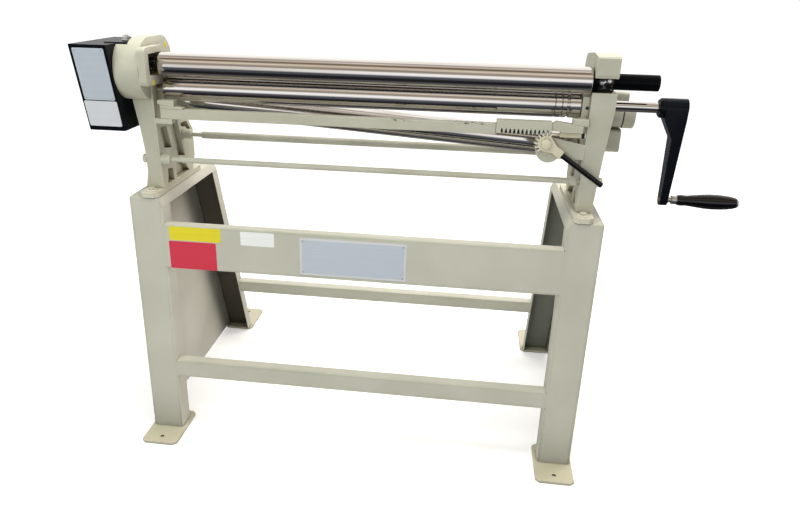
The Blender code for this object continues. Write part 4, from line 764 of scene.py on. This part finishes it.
class SLIPROLL_OT_wedge(bpy.types.Operator):
    """Wedge bar, rack, pads, guides, blocks and the toothed lever"""

    bl_idname = "sliproll.wedge"
    bl_label = "Wedge and lever"

    def execute(self, context):
        sizes = context.scene.slip_roll_sizes
        for node in ("wedge_pad_left", "wedge_pad_right", "bar_guide_left",
                     "carriage_block_left", "carriage_block_right", "rear_block_left",
                     "rear_block_right"):
            softened(node, "cast", sizes.machined_edge * 1.5)
        for node in ("toothed_lever", "bar_guide_right"):
            softened(node, "lever", sizes.machined_edge * 1.5)
        softened("wedge_bar", "bar", sizes.machined_edge * 1.5)
        softened("wedge_rack", "rack", sizes.machined_edge * 0.6)
        low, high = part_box("wedge_rack")
        # A black plate in the rack's slots: painted shadow behind the teeth.
        grease = plate_shape((low.x + 0.011, high.y - 0.001, low.z + 0.0003), X_AXIS, Z_AXIS,
                             0.1205, 0.0128, 0.0092, 0.0008)
        piece("rack_slot_painted_shadow", *grease, "grease", "wedge_slide", smooth=12)
        return {"FINISHED"}


class SLIPROLL_OT_rolls(bpy.types.Operator):
    """Three ground steel rolls with their journals"""

    bl_idname = "sliproll.rolls"
    bl_label = "Rolls"

    def execute(self, context):
        sizes = context.scene.slip_roll_sizes
        r, c = sizes.roll_radius, sizes.roll_chamfer
        low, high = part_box("top_roll")
        centre = (0, (low.y + high.y) / 2, (low.z + high.z) / 2)
        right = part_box("roll_handle")[0].x - 0.0003
        left = low.x + 0.081
        turned("top_roll_ground", centre, X_AXIS, eased([
            (low.x, 0), (low.x, 0.0165), (left, 0.0165), (left, r - c), (left + c, r),
            (right - c, r), (right, r - c), (right, 0.012), (high.x, 0.012), (high.x, 0)], 0.0008),
            "roll", "top_roll_set", "top_roll", steps=160)
        turned("top_roll_journal_grease", centre, X_AXIS, eased([
            (left - 0.0305, 0.0163), (left - 0.0305, 0.0168), (left - 0.0012, 0.0168),
            (left - 0.0009, 0.0300), (left - 0.0002, 0.0300), (left - 0.0002, 0.0163)], 0.0002),
            "journal", "top_roll_set", steps=96, ring=True)
        low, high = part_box("lower_roll")
        centre = (0, (low.y + high.y) / 2, (low.z + high.z) / 2)
        left, right = low.x + 0.140, right + 0.003 - 0.0185
        deep = sizes.groove_depth
        grooves = []
        for start, width in ((0.0275, 0.0065), (0.0440, 0.0030), (0.0605, 0.0030)):
            angle = np.linspace(0, math.pi, 9)
            grooves += [(right - start - width / 2 + width / 2 * math.cos(a),
                         r - deep * math.sin(a)) for a in angle]
        profile = np.vstack((
            eased([(high.x, 0), (high.x, 0.013), (right, 0.013), (right, r - c), (right - c, r),
                   (right - 0.02, r)], 0.0008),
            np.array(grooves),
            eased([(right - 0.075, r), (left + c, r), (left, r - c), (left, 0.013), (low.x, 0.013),
                   (low.x, 0)], 0.0008)))
        turned("lower_roll_ground", centre, X_AXIS, profile, "roll", "lower_roll_set",
               "lower_roll", steps=160)
        rear_roll(r, c)
        return {"FINISHED"}


def rear_roll(r, c):
    """The tilted rear roll, turned about the axis of its spin joint."""
    mesh = NODES["rear_roll"].data
    points = np.empty(len(mesh.vertices) * 3)
    mesh.vertices.foreach_get("co", points)
    points = points.reshape(-1, 3)
    joint = next(j for j in frame["joints"] if j["name"] == "rear_roll_spin")
    axis = np.array(joint["axis"], float)
    axis /= np.linalg.norm(axis)
    origin = np.array(joint["pos_m"], float)
    along = (points - origin) @ axis
    radius = np.linalg.norm(points - origin - along[:, None] * axis, axis=1)
    start, end = along.min(), along.max()
    body = along[radius > r - 0.0005]
    left, right = body.min() - c, body.max() + c
    turned("rear_roll_ground", origin, axis, eased([
        (start, 0), (start, 0.013), (left, 0.013), (left, r - c), (left + c, r), (right - c, r),
        (right, r - c), (right, 0.013), (end, 0.013), (end, 0)], 0.0008),
        "roll", "rear_roll_set", "rear_roll", steps=160)


class SLIPROLL_OT_handles(bpy.types.Operator):
    """Black handle of the top roll, crank with its grip, lever grip and knob"""

    bl_idname = "sliproll.handles"
    bl_label = "Handles"

    def execute(self, context):
        sizes = context.scene.slip_roll_sizes
        low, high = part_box("roll_handle")
        centre = (0, (low.y + high.y) / 2, (low.z + high.z) / 2)
        step = low.x + 0.051
        turned("top_roll_handle", centre, X_AXIS, eased([
            (low.x, 0.0123), (low.x, 0.025), (step, 0.025), (step, 0.019), (high.x, 0.019),
            (high.x, 0.0123)], 0.0018, 5), "handle", "top_roll_set", "roll_handle",
            steps=96, ring=True)
        turned("top_roll_worn_journal", centre, X_AXIS, eased([
            (low.x + 0.014, 0.0249), (low.x + 0.014, 0.0253), (step - 0.004, 0.0253),
            (step - 0.004, 0.0249)], 0.0002), "journal", "top_roll_set", steps=96, ring=True)
        softened("crank_arm", "crank", 0.0045, 4, 28)
        low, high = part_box("crank_collar")
        centre = (0, (low.y + high.y) / 2, (low.z + high.z) / 2)
        turned("crank_hub_collar", centre, X_AXIS, eased([
            (low.x, 0.0133), (low.x, 0.0195), (low.x + 0.005, 0.024), (high.x, 0.024),
            (high.x, 0.0133)], 0.0015, 5), "crank", "lower_roll_set", "crank_collar",
            steps=96, ring=True)
        crank_grip()
        softened("lever_grip", "grip", 0.0022, 3, 25)
        knob()
        return {"FINISHED"}


def crank_grip():
    """Turning grip: a smooth belly from its widths, joined by straight lines and smoothed, and its spindle."""
    low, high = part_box("crank_grip")
    length, full = high.x - low.x, (high.z - low.z) / 2
    centre = (low.x, (low.y + high.y) / 2, (low.z + high.z) / 2)
    share = np.array((0, 0.03, 0.08, 0.15, 0.28, 0.42, 0.55, 0.68, 0.80, 0.90, 0.96, 0.985, 1.0))
    width = np.array((0.60, 0.72, 0.74, 0.68, 0.80, 0.94, 1.0, 0.99, 0.92, 0.80, 0.66, 0.52, 0.36))
    fine = np.linspace(0, 1, 72)
    smooth = np.interp(fine, share, width)
    kernel = np.array((1, 2, 3, 2, 1)) / 9
    smooth[2:-2] = np.convolve(smooth, kernel, "valid")
    outer = np.stack((fine * length, smooth * full), -1)
    profile = np.vstack(((0, 0.0054), outer, (length, 0.0054)))
    turned("crank_turning_grip", centre, X_AXIS, profile, "grip", "crank_grip", "crank_grip",
           steps=96, ring=True)
    turned("crank_grip_cap", centre, X_AXIS, eased([
        (length - 0.006, 0.0066), (length - 0.006, 0.0122), (length - 0.0022, 0.0108),
        (length - 0.0002, 0.0078), (length - 0.0002, 0.0066)], 0.0008), "zinc", "crank_grip",
        steps=64, ring=True)
    low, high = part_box("grip_spindle")
    centre = (0, (low.y + high.y) / 2, (low.z + high.z) / 2)
    grip_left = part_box("crank_grip")[0].x
    arm_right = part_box("crank_arm")[1].x - 0.009
    turned("crank_grip_spindle", centre, X_AXIS, eased([
        (low.x, 0), (low.x, 0.005), (arm_right + 0.0015, 0.005), (arm_right + 0.0015, 0.011),
        (arm_right + 0.003, 0.011), (arm_right + 0.003, 0.007), (grip_left - 0.0128, 0.007),
        (grip_left - 0.0128, 0.011), (grip_left - 0.0003, 0.011), (grip_left - 0.0003, 0.005),
        (high.x, 0.005), (high.x, 0)], 0.0006, 3), "turned", "lower_roll_set",
        "grip_spindle", steps=64)


def knob():
    """Painted hand knob with a shallow turned groove, lined with a black ring of painted shade."""
    low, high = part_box("rear_adjust_knob")
    centre = (0, (low.y + high.y) / 2, (low.z + high.z) / 2)
    start, groove = high.x - 0.057, high.x - 0.028
    turned("rear_height_knob", centre, X_AXIS, eased([
        (low.x, 0), (low.x, 0.008), (start, 0.008), (start, 0.033), (groove - 0.003, 0.033),
        (groove - 0.003, 0.030), (groove, 0.030), (groove, 0.033), (high.x, 0.033),
        (high.x, 0.024), (high.x - 0.002, 0.022), (high.x - 0.002, 0)], 0.0022, 5),
        "cast", "rear_knob", "rear_adjust_knob", steps=96)
    # A black ring in the groove: painted shade.
    turned("rear_knob_groove_painted_shade", centre, X_AXIS, eased([
        (groove - 0.0028, 0.0296), (groove - 0.0028, 0.0316), (groove - 0.0002, 0.0316),
        (groove - 0.0002, 0.0296)], 0.0002), "grease", "rear_knob", steps=96, ring=True)


class SLIPROLL_OT_fasteners(bpy.types.Operator):
    """Hexagon bolts, washers, tie rods, pin and oiler"""

    bl_idname = "sliproll.fasteners"
    bl_label = "Fasteners"

    def execute(self, context):
        for side in ("left", "right"):
            for end in ("front", "rear"):
                node = f"frame_bolt_{end}_{side}"
                low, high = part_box(node)
                centre = np.array(((low.x + high.x) / 2, (low.y + high.y) / 2, low.z))
                washer = turned_shape(centre, Z_AXIS, [(0, 0), (0, 0.0135), (0.0012, 0.0135),
                                                       (0.0016, 0.0130), (0.0016, 0)], steps=48)
                head = hexagon_shape(centre + (0, 0, 0.0016), Z_AXIS, 0.0165, high.z - low.z - 0.0016)
                piece(node + "_head", *joined(washer, head), "cast", "frame", node)
                tie_end(f"tie_bolt_{end}_{side}", -1 if side == "left" else 1)
        for end in ("front", "rear"):
            tie_rod("tie_rod_" + end, 0.0075 if end == "front" else 0.010)
        low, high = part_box("lever_pivot_bolt")
        centre = ((low.x + high.x) / 2, low.y, (low.z + high.z) / 2)
        head = hexagon_shape((centre[0], low.y + 0.008, centre[2]), (0, -1, 0), 0.0225, 0.008)
        shank = turned_shape((centre[0], 0, centre[2]), Y_AXIS,
                             [(low.y + 0.0079, 0), (low.y + 0.0079, 0.005), (high.y, 0.005),
                              (high.y, 0)], steps=48)
        piece("lever_pivot_screw", *joined(head, shank), "lever", "frame", "lever_pivot_bolt")
        low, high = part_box("hook_pin")
        turned("hook_hinge_pin", (0, (low.y + high.y) / 2, (low.z + high.z) / 2), X_AXIS, eased([
            (low.x, 0), (low.x, 0.007), (high.x, 0.007), (high.x, 0)], 0.0012), "turned",
            "frame", "hook_pin", steps=48)
        oiler()
        small_screws()
        return {"FINISHED"}


def small_screws():
    """Socket screws on the right bearing block and guide, sunk in, with heads in the grips' glossy black."""
    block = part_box("carriage_block_right")[0]
    guide_low, guide_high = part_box("bar_guide_right")
    for name, spot, radius, body in (
            ("bearing_block_screw", (0.4262, block.y, 1.0185), 0.0042, "carriage"),
            ("guide_screw_upper", (guide_high.x - 0.008, guide_low.y, guide_high.z - 0.010), 0.0040,
             "frame"),
            ("guide_screw_lower", (guide_high.x - 0.008, guide_low.y, guide_low.z + 0.009), 0.0040,
             "frame")):
        profile = eased([(-0.0004, 0), (-0.0004, radius), (0.0012, radius), (0.0018, radius * 0.85),
                         (0.0018, radius * 0.5), (0.0004, radius * 0.45), (0.0004, 0)], 0.0003)
        piece(name, *turned_shape(spot, (0, -1, 0), profile, steps=36), "grip", body)


def tie_end(node, side):
    """Bolt head outside a casting, on the end of a tie rod."""
    low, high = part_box(node)
    inner, height = (high.x, high.x - low.x) if side < 0 else (low.x, high.x - low.x)
    centre = np.array((inner, (low.y + high.y) / 2, (low.z + high.z) / 2))
    head = hexagon_shape(centre, (side, 0, 0), 0.0208, height)
    piece(node + "_head", *head, "cast", "frame", node)


def tie_rod(node, radius):
    """Painted tie rod with its turned collar, neck and nut."""
    low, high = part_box(node)
    centre = (0, (low.y + high.y) / 2, (low.z + high.z) / 2)
    nut_right = high.x - 0.009
    turned(node + "_turned", centre, X_AXIS, eased([
        (low.x, 0), (low.x, 0.013), (low.x + 0.026, 0.013), (low.x + 0.026, 0.006),
        (low.x + 0.058, 0.006), (low.x + 0.058, radius), (nut_right - 0.0145, radius),
        (nut_right - 0.0145, 0.012), (nut_right, 0.012), (nut_right, 0.006), (high.x, 0.006),
        (high.x, 0)], 0.0012), "cast", "frame", node, steps=64)


def oiler():
    """Bright drive-in oiler on the cover's tongue: flange, hexagon body and sprung ball seat."""
    low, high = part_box("cover_oiler")
    centre = np.array(((low.x + high.x) / 2, (low.y + high.y) / 2, low.z))
    tall = high.z - low.z
    flange = turned_shape(centre, Z_AXIS, eased([
        (0, 0), (0, 0.0125), (0.0024, 0.0130), (0.0032, 0.0118), (0.0032, 0)], 0.0006), steps=64)
    body = hexagon_shape(centre + (0, 0, 0.0031), Z_AXIS, 0.0205, tall - 0.0071)
    cap = turned_shape(centre, Z_AXIS, eased([
        (tall - 0.0041, 0), (tall - 0.0041, 0.0088), (tall - 0.0012, 0.0080), (tall, 0.0058),
        (tall, 0.0024), (tall - 0.0010, 0.0018), (tall - 0.0006, 0)], 0.0007), steps=64)
    piece("cover_oil_fitting", *joined(flange, body, cap), "zinc", "frame", "cover_oiler")


class SLIPROLL_OT_cover(bpy.types.Operator):
    """Black gear cover, its bare plates and rivets"""

    bl_idname = "sliproll.cover"
    bl_label = "Gear cover"

    def execute(self, context):
        sizes = context.scene.slip_roll_sizes
        softened("gear_cover", "cover", 0.0045, 4)
        low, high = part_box("gear_cover")
        front_top, front_bottom = low.y, low.y + 0.055
        up = np.array((0, front_top - front_bottom, 0.220))
        slope = np.linalg.norm(up)
        up = up / slope
        across = np.array((1.0, 0, 0))
        foot = np.array((low.x, front_bottom, low.z))
        thick = sizes.plate_thickness
        for name, look, x, y, width, height in (
                ("cover_upper_plate", "anodised", 0.0075, 0.084, 0.082, 0.134),
                ("cover_lower_plate", "print", 0.0040, 0.0125, 0.0880, 0.0690)):
            corner = foot + x * across + y * up
            shape = plate_shape(corner, across, up, width, height, thick, 0.004)
            piece(name, *shape, look, "frame", smooth=12)
        rivets("cover_plate_rivets", foot + 0.0075 * across + 0.084 * up, across, up, 0.082, 0.134,
               0.0062, 0.0016, thick)
        return {"FINISHED"}


def rivets(name, corner, across, up, width, height, inset, radius, lift):
    """Four small domed rivets, one in each corner of a plate: height is a quarter of the width."""
    out = np.cross(across, up)
    spots = [corner + (inset if i < 0 else width - inset) * across
             + (inset if j < 0 else height - inset) * up + (lift - 0.0002) * out
             for i in (-1, 1) for j in (-1, 1)]
    heads = [turned_shape(spot, out, eased([(0, 0), (0, radius), (radius * 0.45, radius * 0.8),
                                            (radius * 0.6, 0)], radius * 0.3), steps=24)
             for spot in spots]
    return piece(name, *joined(*heads), "turned", "frame")


class SLIPROLL_OT_plates(bpy.types.Operator):
    """Bare plates on the stand's upper rail"""

    bl_idname = "sliproll.plates"
    bl_label = "Plates"

    def execute(self, context):
        sizes = context.scene.slip_roll_sizes
        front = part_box("upper_front_rail")[0].y
        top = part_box("upper_front_rail")[1].z
        thick = sizes.plate_thickness
        rows = (
            ("rail_plate_yellow", "yellow", -0.6416, 0.0430, 0.1450, 0.0390, 0.0004),
            ("rail_plate_red", "red", -0.6450, 0.1265, 0.1335, 0.0805, 0.0004),
            ("rail_plate_white", "white", -0.4412, 0.0460, 0.0936, 0.0395, 0.0003),
            ("rail_plate_centre", "plate_edge", -0.2776, 0.1190, 0.2880, 0.1060, thick),
        )
        for name, look, x, drop, width, height, deep in rows:
            shape = plate_shape((x, front, top - drop), X_AXIS, Z_AXIS, width, height, deep, 0.003)
            piece(name, *shape, look, "frame", smooth=12)
        across, up = np.array(X_AXIS, float), np.array(Z_AXIS, float)
        corner = np.array((-0.2776, front, top - 0.1190))
        shape = plate_shape(corner + 0.006 * across + 0.006 * up - (0, thick - 0.0001, 0), across, up,
                            0.276, 0.094, 0.0003, 0.002)
        piece("rail_plate_centre_field", *shape, "anodised", "frame", smooth=12)
        rivets("rail_plate_rivets", corner, across, up, 0.2880, 0.1060, 0.0085, 0.0022,
               thick + 0.0002)
        for name, spot, out in (("oiling_mark_bearing", (-0.6516, -0.3659, 1.0372), X_AXIS),
                                ("oiling_mark_head", (-0.6716, -0.2285, 1.1187), X_AXIS)):
            piece(name, *turned_shape(spot, out, eased([
                (-0.0002, 0), (-0.0002, 0.0068), (0.0005, 0.0068), (0.0005, 0)], 0.0002), steps=48),
                "yellow", "frame")
        return {"FINISHED"}


class SLIPROLL_OT_inside(bpy.types.Operator):
    """Finishes of the gears, bushes and other solids that stay as they are"""

    bl_idname = "sliproll.inside"
    bl_label = "Gears and bushes"

    def execute(self, context):
        looks = {"lower_drive_gear": "oily", "top_drive_gear": "oily", "top_gear_shaft": "turned",
                 "top_roll_bush": "bronze", "rear_roll_bush": "bronze"}
        for node, obj in NODES.items():
            if obj.hide_render:
                continue
            obj.data.materials.clear()
            obj.data.materials.append(finish_of(looks.get(node, "cast")))
        return {"FINISHED"}


class SLIPROLL_OT_stage(bpy.types.Operator):
    """Pale floor, soft lights, reflector cards and the camera"""

    bl_idname = "sliproll.stage"
    bl_label = "Stage"

    def execute(self, context):
        scene = context.scene
        scene.view_settings.view_transform = "Standard"
        pale_floor()
        surround()
        studio_world(scene)
        lamp("front_light", (-1.3, -2.6, 2.4), (-0.1, -0.2, 0.7), 2.4, 43.0, 0xFBFFFA)
        lamp("window_light", (2.9, 2.0, 2.0), (-0.5, -0.2, 0.8), 1.8, 48.0, 0xFFF0E2)
        lamp("top_light", (0.1, -0.3, 3.7), (0.0, -0.3, 0.8), 2.6, 132.0, 0xFFFBF4)
        camera(scene)
        return {"FINISHED"}


def quad_object(name, corners, look):
    """One flat quad of the stage."""
    mesh = bpy.data.meshes.new(name)
    mesh.from_pydata(corners, [], [(0, 1, 2, 3)])
    mesh.materials.append(look)
    obj = bpy.data.objects.new(name, mesh)
    bpy.context.scene.collection.objects.link(obj)
    return obj


def pale_floor():
    """White floor that keeps the soft shadow; a lift seen only by the camera takes it to white.

    The lamps fade away from the stand, so the lift grows from 1 m to 4.5 m round it.
    """
    made, tree, shader = new_finish("pale_studio_floor")
    spot = add(tree, "ShaderNodeTexCoord").outputs["Object"]
    cloud = add(tree, "ShaderNodeTexNoise", {"Vector": spot, "Scale": 2.0}).outputs["Fac"]
    tree.links.new(mixed(tree, ramp(tree, cloud, 0.2, 0.8), linear(0xF0F0F0), linear(0xF6F6F6)),
                   shader.inputs["Base Color"])
    shader.inputs["Roughness"].default_value = 0.9
    shader.inputs["Emission Color"].default_value = (1, 1, 1, 1)
    seen = add(tree, "ShaderNodeLightPath").outputs["Is Camera Ray"]
    away = add(tree, "ShaderNodeVectorMath", {0: spot}, operation="LENGTH").outputs["Value"]
    lift = add(tree, "ShaderNodeMapRange", {
        "Value": away, "From Min": 1.0, "From Max": 4.5, "To Min": 0.36, "To Max": 0.85}).outputs[0]
    tree.links.new(add(tree, "ShaderNodeMath", {0: seen, 1: lift},
                       operation="MULTIPLY").outputs[0], shader.inputs["Emission Strength"])
    floor = quad_object("studio_floor", [(-30, -30, -0.0005), (30, -30, -0.0005),
                                         (30, 30, -0.0005), (-30, 30, -0.0005)], made)
    floor.visible_glossy = False


# Panels round the rolls: from and to in degrees above the viewer's horizon, and the sRGB colour.
# Between two panels the colour goes over evenly.
PANELS = (
    (-180, -124, 0x727277),  # floor behind the machine
    (-116, -106, 0x303034),  # the machine's own shadow on it
    (-94, -70, 0x5A595A),    # floor in front
    (-58, -38, 0x202024),    # black cloth
    (-26, -15, 0x50525C),    # slate curtain
    (-4, 10, 0xF0F0F2),      # strip light at eye level
    (19, 31, 0x928A80),      # grey wall
    (41, 49, 0xD0C4B4),      # warm card
    (60, 70, 0x74675A),      # brown gap
    (78, 87, 0xD0C6BE),      # second warm card
    (94, 95, 0x8E8884),      # its edge
    (106, 180, 0xEAE8E5),    # ceiling
)


def surround():
    """Tunnel of long reflector panels round the rolls' direction, seen only in reflections."""
    made = bpy.data.materials.new("reflector_panels")
    made.use_nodes = True
    tree = made.node_tree
    tree.nodes.remove(tree.nodes["Principled BSDF"])
    spot = add(tree, "ShaderNodeSeparateXYZ", {
        "Vector": add(tree, "ShaderNodeTexCoord").outputs["Object"]})
    height = add(tree, "ShaderNodeMath", {0: spot.outputs["Z"], 1: 1.05}, operation="SUBTRACT")
    forward = add(tree, "ShaderNodeMath", {0: -0.32, 1: spot.outputs["Y"]}, operation="SUBTRACT")
    turn = add(tree, "ShaderNodeMath", {0: height.outputs[0], 1: forward.outputs[0]},
               operation="ARCTAN2")
    share = add(tree, "ShaderNodeMapRange", {
        "Value": turn.outputs[0], "From Min": -math.pi, "From Max": math.pi})
    bands = add(tree, "ShaderNodeValToRGB", {"Fac": share.outputs["Result"]})
    stops = bands.color_ramp.elements
    for i, (start, end, code) in enumerate(PANELS):
        for k, angle in enumerate((start, end)):
            stop = stops[k] if i == 0 else stops.new((angle + 180) / 360)
            stop.position = (angle + 180) / 360
            stop.color = linear(code)
    level = add(tree, "ShaderNodeMapRange", {
        "Value": turn.outputs[0], "From Min": math.radians(106), "From Max": math.radians(122),
        "To Min": 1.5, "To Max": 1.75}).outputs["Result"]
    light = add(tree, "ShaderNodeEmission", {"Color": bands.outputs["Color"], "Strength": level})
    tree.links.new(light.outputs[0], tree.nodes["Material Output"].inputs["Surface"])
    points, faces = turned_shape((0, -0.32, 1.05), X_AXIS, [(-9, 4.0), (9, 4.0)], steps=180)
    mesh = bpy.data.meshes.new("reflector_tunnel")
    mesh.from_pydata(points.tolist(), [], faces[0].tolist())
    mesh.materials.append(made)
    tunnel = bpy.data.objects.new("reflector_tunnel", mesh)
    bpy.context.scene.collection.objects.link(tunnel)
    tunnel.visible_camera = tunnel.visible_diffuse = tunnel.visible_shadow = False
    tunnel.visible_transmission = tunnel.visible_volume_scatter = False


def studio_world(scene):
    """Even grey light, seen as white by the camera and in reflections."""
    world = bpy.data.worlds.new("soft_studio")
    world.use_nodes = True
    tree = world.node_tree
    back = tree.nodes["Background"]
    path = add(tree, "ShaderNodeLightPath")
    seen = add(tree, "ShaderNodeMath", {
        0: path.outputs["Is Camera Ray"], 1: path.outputs["Is Glossy Ray"]}, operation="MAXIMUM")
    shown = add(tree, "ShaderNodeMath", {
        0: seen.outputs[0], 1: path.outputs["Is Transmission Ray"]}, operation="MAXIMUM")
    strength = add(tree, "ShaderNodeMapRange", {
        "Value": shown.outputs[0], "To Min": 0.20, "To Max": 1.0}).outputs["Result"]
    tree.links.new(strength, back.inputs["Strength"])
    back.inputs["Color"].default_value = (1, 1, 1, 1)
    scene.world = world


def lamp(name, at, aim, size, power, tint):
    """Square soft box at a place, turned to its aim."""
    light = bpy.data.lights.new(name, "AREA")
    light.shape = "SQUARE"
    light.size = size
    light.energy = power
    light.color = linear(tint)[:3]
    obj = bpy.data.objects.new(name, light)
    obj.location = at
    obj.rotation_euler = (Vector(aim) - Vector(at)).to_track_quat("-Z", "Y").to_euler()
    obj.visible_glossy = False
    bpy.context.scene.collection.objects.link(obj)


def camera(scene):
    """Camera solved from the photograph: focal length 705.78 px of 800, low above the rolls."""
    yaw, pitch, roll = 0.124504, 0.387541, 0.022253
    ahead = Vector((-math.sin(yaw) * math.cos(pitch), math.cos(yaw) * math.cos(pitch),
                    -math.sin(pitch)))
    level = Vector((math.cos(yaw), math.sin(yaw), 0))
    upward = level.cross(ahead)
    right = math.cos(roll) * level + math.sin(roll) * upward
    up = -math.sin(roll) * level + math.cos(roll) * upward
    lens = bpy.data.cameras.new("photo_camera")
    lens.sensor_width = 36
    lens.lens = 705.78 / 800 * 36
    lens.shift_x = (400 - 376.05) / 800
    lens.shift_y = (267.18 - 263) / 800
    obj = bpy.data.objects.new("photo_camera", lens)
    turn = Matrix((right, up, -ahead)).transposed().to_4x4()
    obj.matrix_world = Matrix.Translation((0.14698, -2.11321, 1.29327)) @ turn
    bpy.context.scene.collection.objects.link(obj)
    scene.camera = obj


class SLIPROLL_PT_panel(bpy.types.Panel):
    """The operators and settings in the 3D view's sidebar"""

    bl_idname = "SLIPROLL_PT_panel"
    bl_label = "Slip roll"
    bl_space_type = "VIEW_3D"
    bl_region_type = "UI"
    bl_category = "Slip roll"

    def draw(self, context):
        layout = self.layout
        for group in (context.scene.slip_roll_sizes, context.scene.slip_roll_colours):
            for name in group.__annotations__:
                layout.prop(group, name)
        for kind in OPERATORS:
            layout.operator(kind.bl_idname)


OPERATORS = (
    SLIPROLL_OT_stand, SLIPROLL_OT_castings, SLIPROLL_OT_wedge, SLIPROLL_OT_rolls,
    SLIPROLL_OT_handles, SLIPROLL_OT_fasteners, SLIPROLL_OT_cover, SLIPROLL_OT_plates,
    SLIPROLL_OT_inside, SLIPROLL_OT_stage,
)
CLASSES = (SlipRollSizes, SlipRollColours, *OPERATORS, SLIPROLL_PT_panel)


def register():
    for kind in CLASSES:
        bpy.utils.register_class(kind)
    bpy.types.Scene.slip_roll_sizes = PointerProperty(type=SlipRollSizes)
    bpy.types.Scene.slip_roll_colours = PointerProperty(type=SlipRollColours)


def unregister():
    del bpy.types.Scene.slip_roll_sizes
    del bpy.types.Scene.slip_roll_colours
    for kind in reversed(CLASSES):
        bpy.utils.unregister_class(kind)


def main():
    """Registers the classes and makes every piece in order."""
    register()
    for kind in OPERATORS:
        group, name = kind.bl_idname.split(".")
        getattr(getattr(bpy.ops, group), name)()


if __name__ == "__main__":
    main()
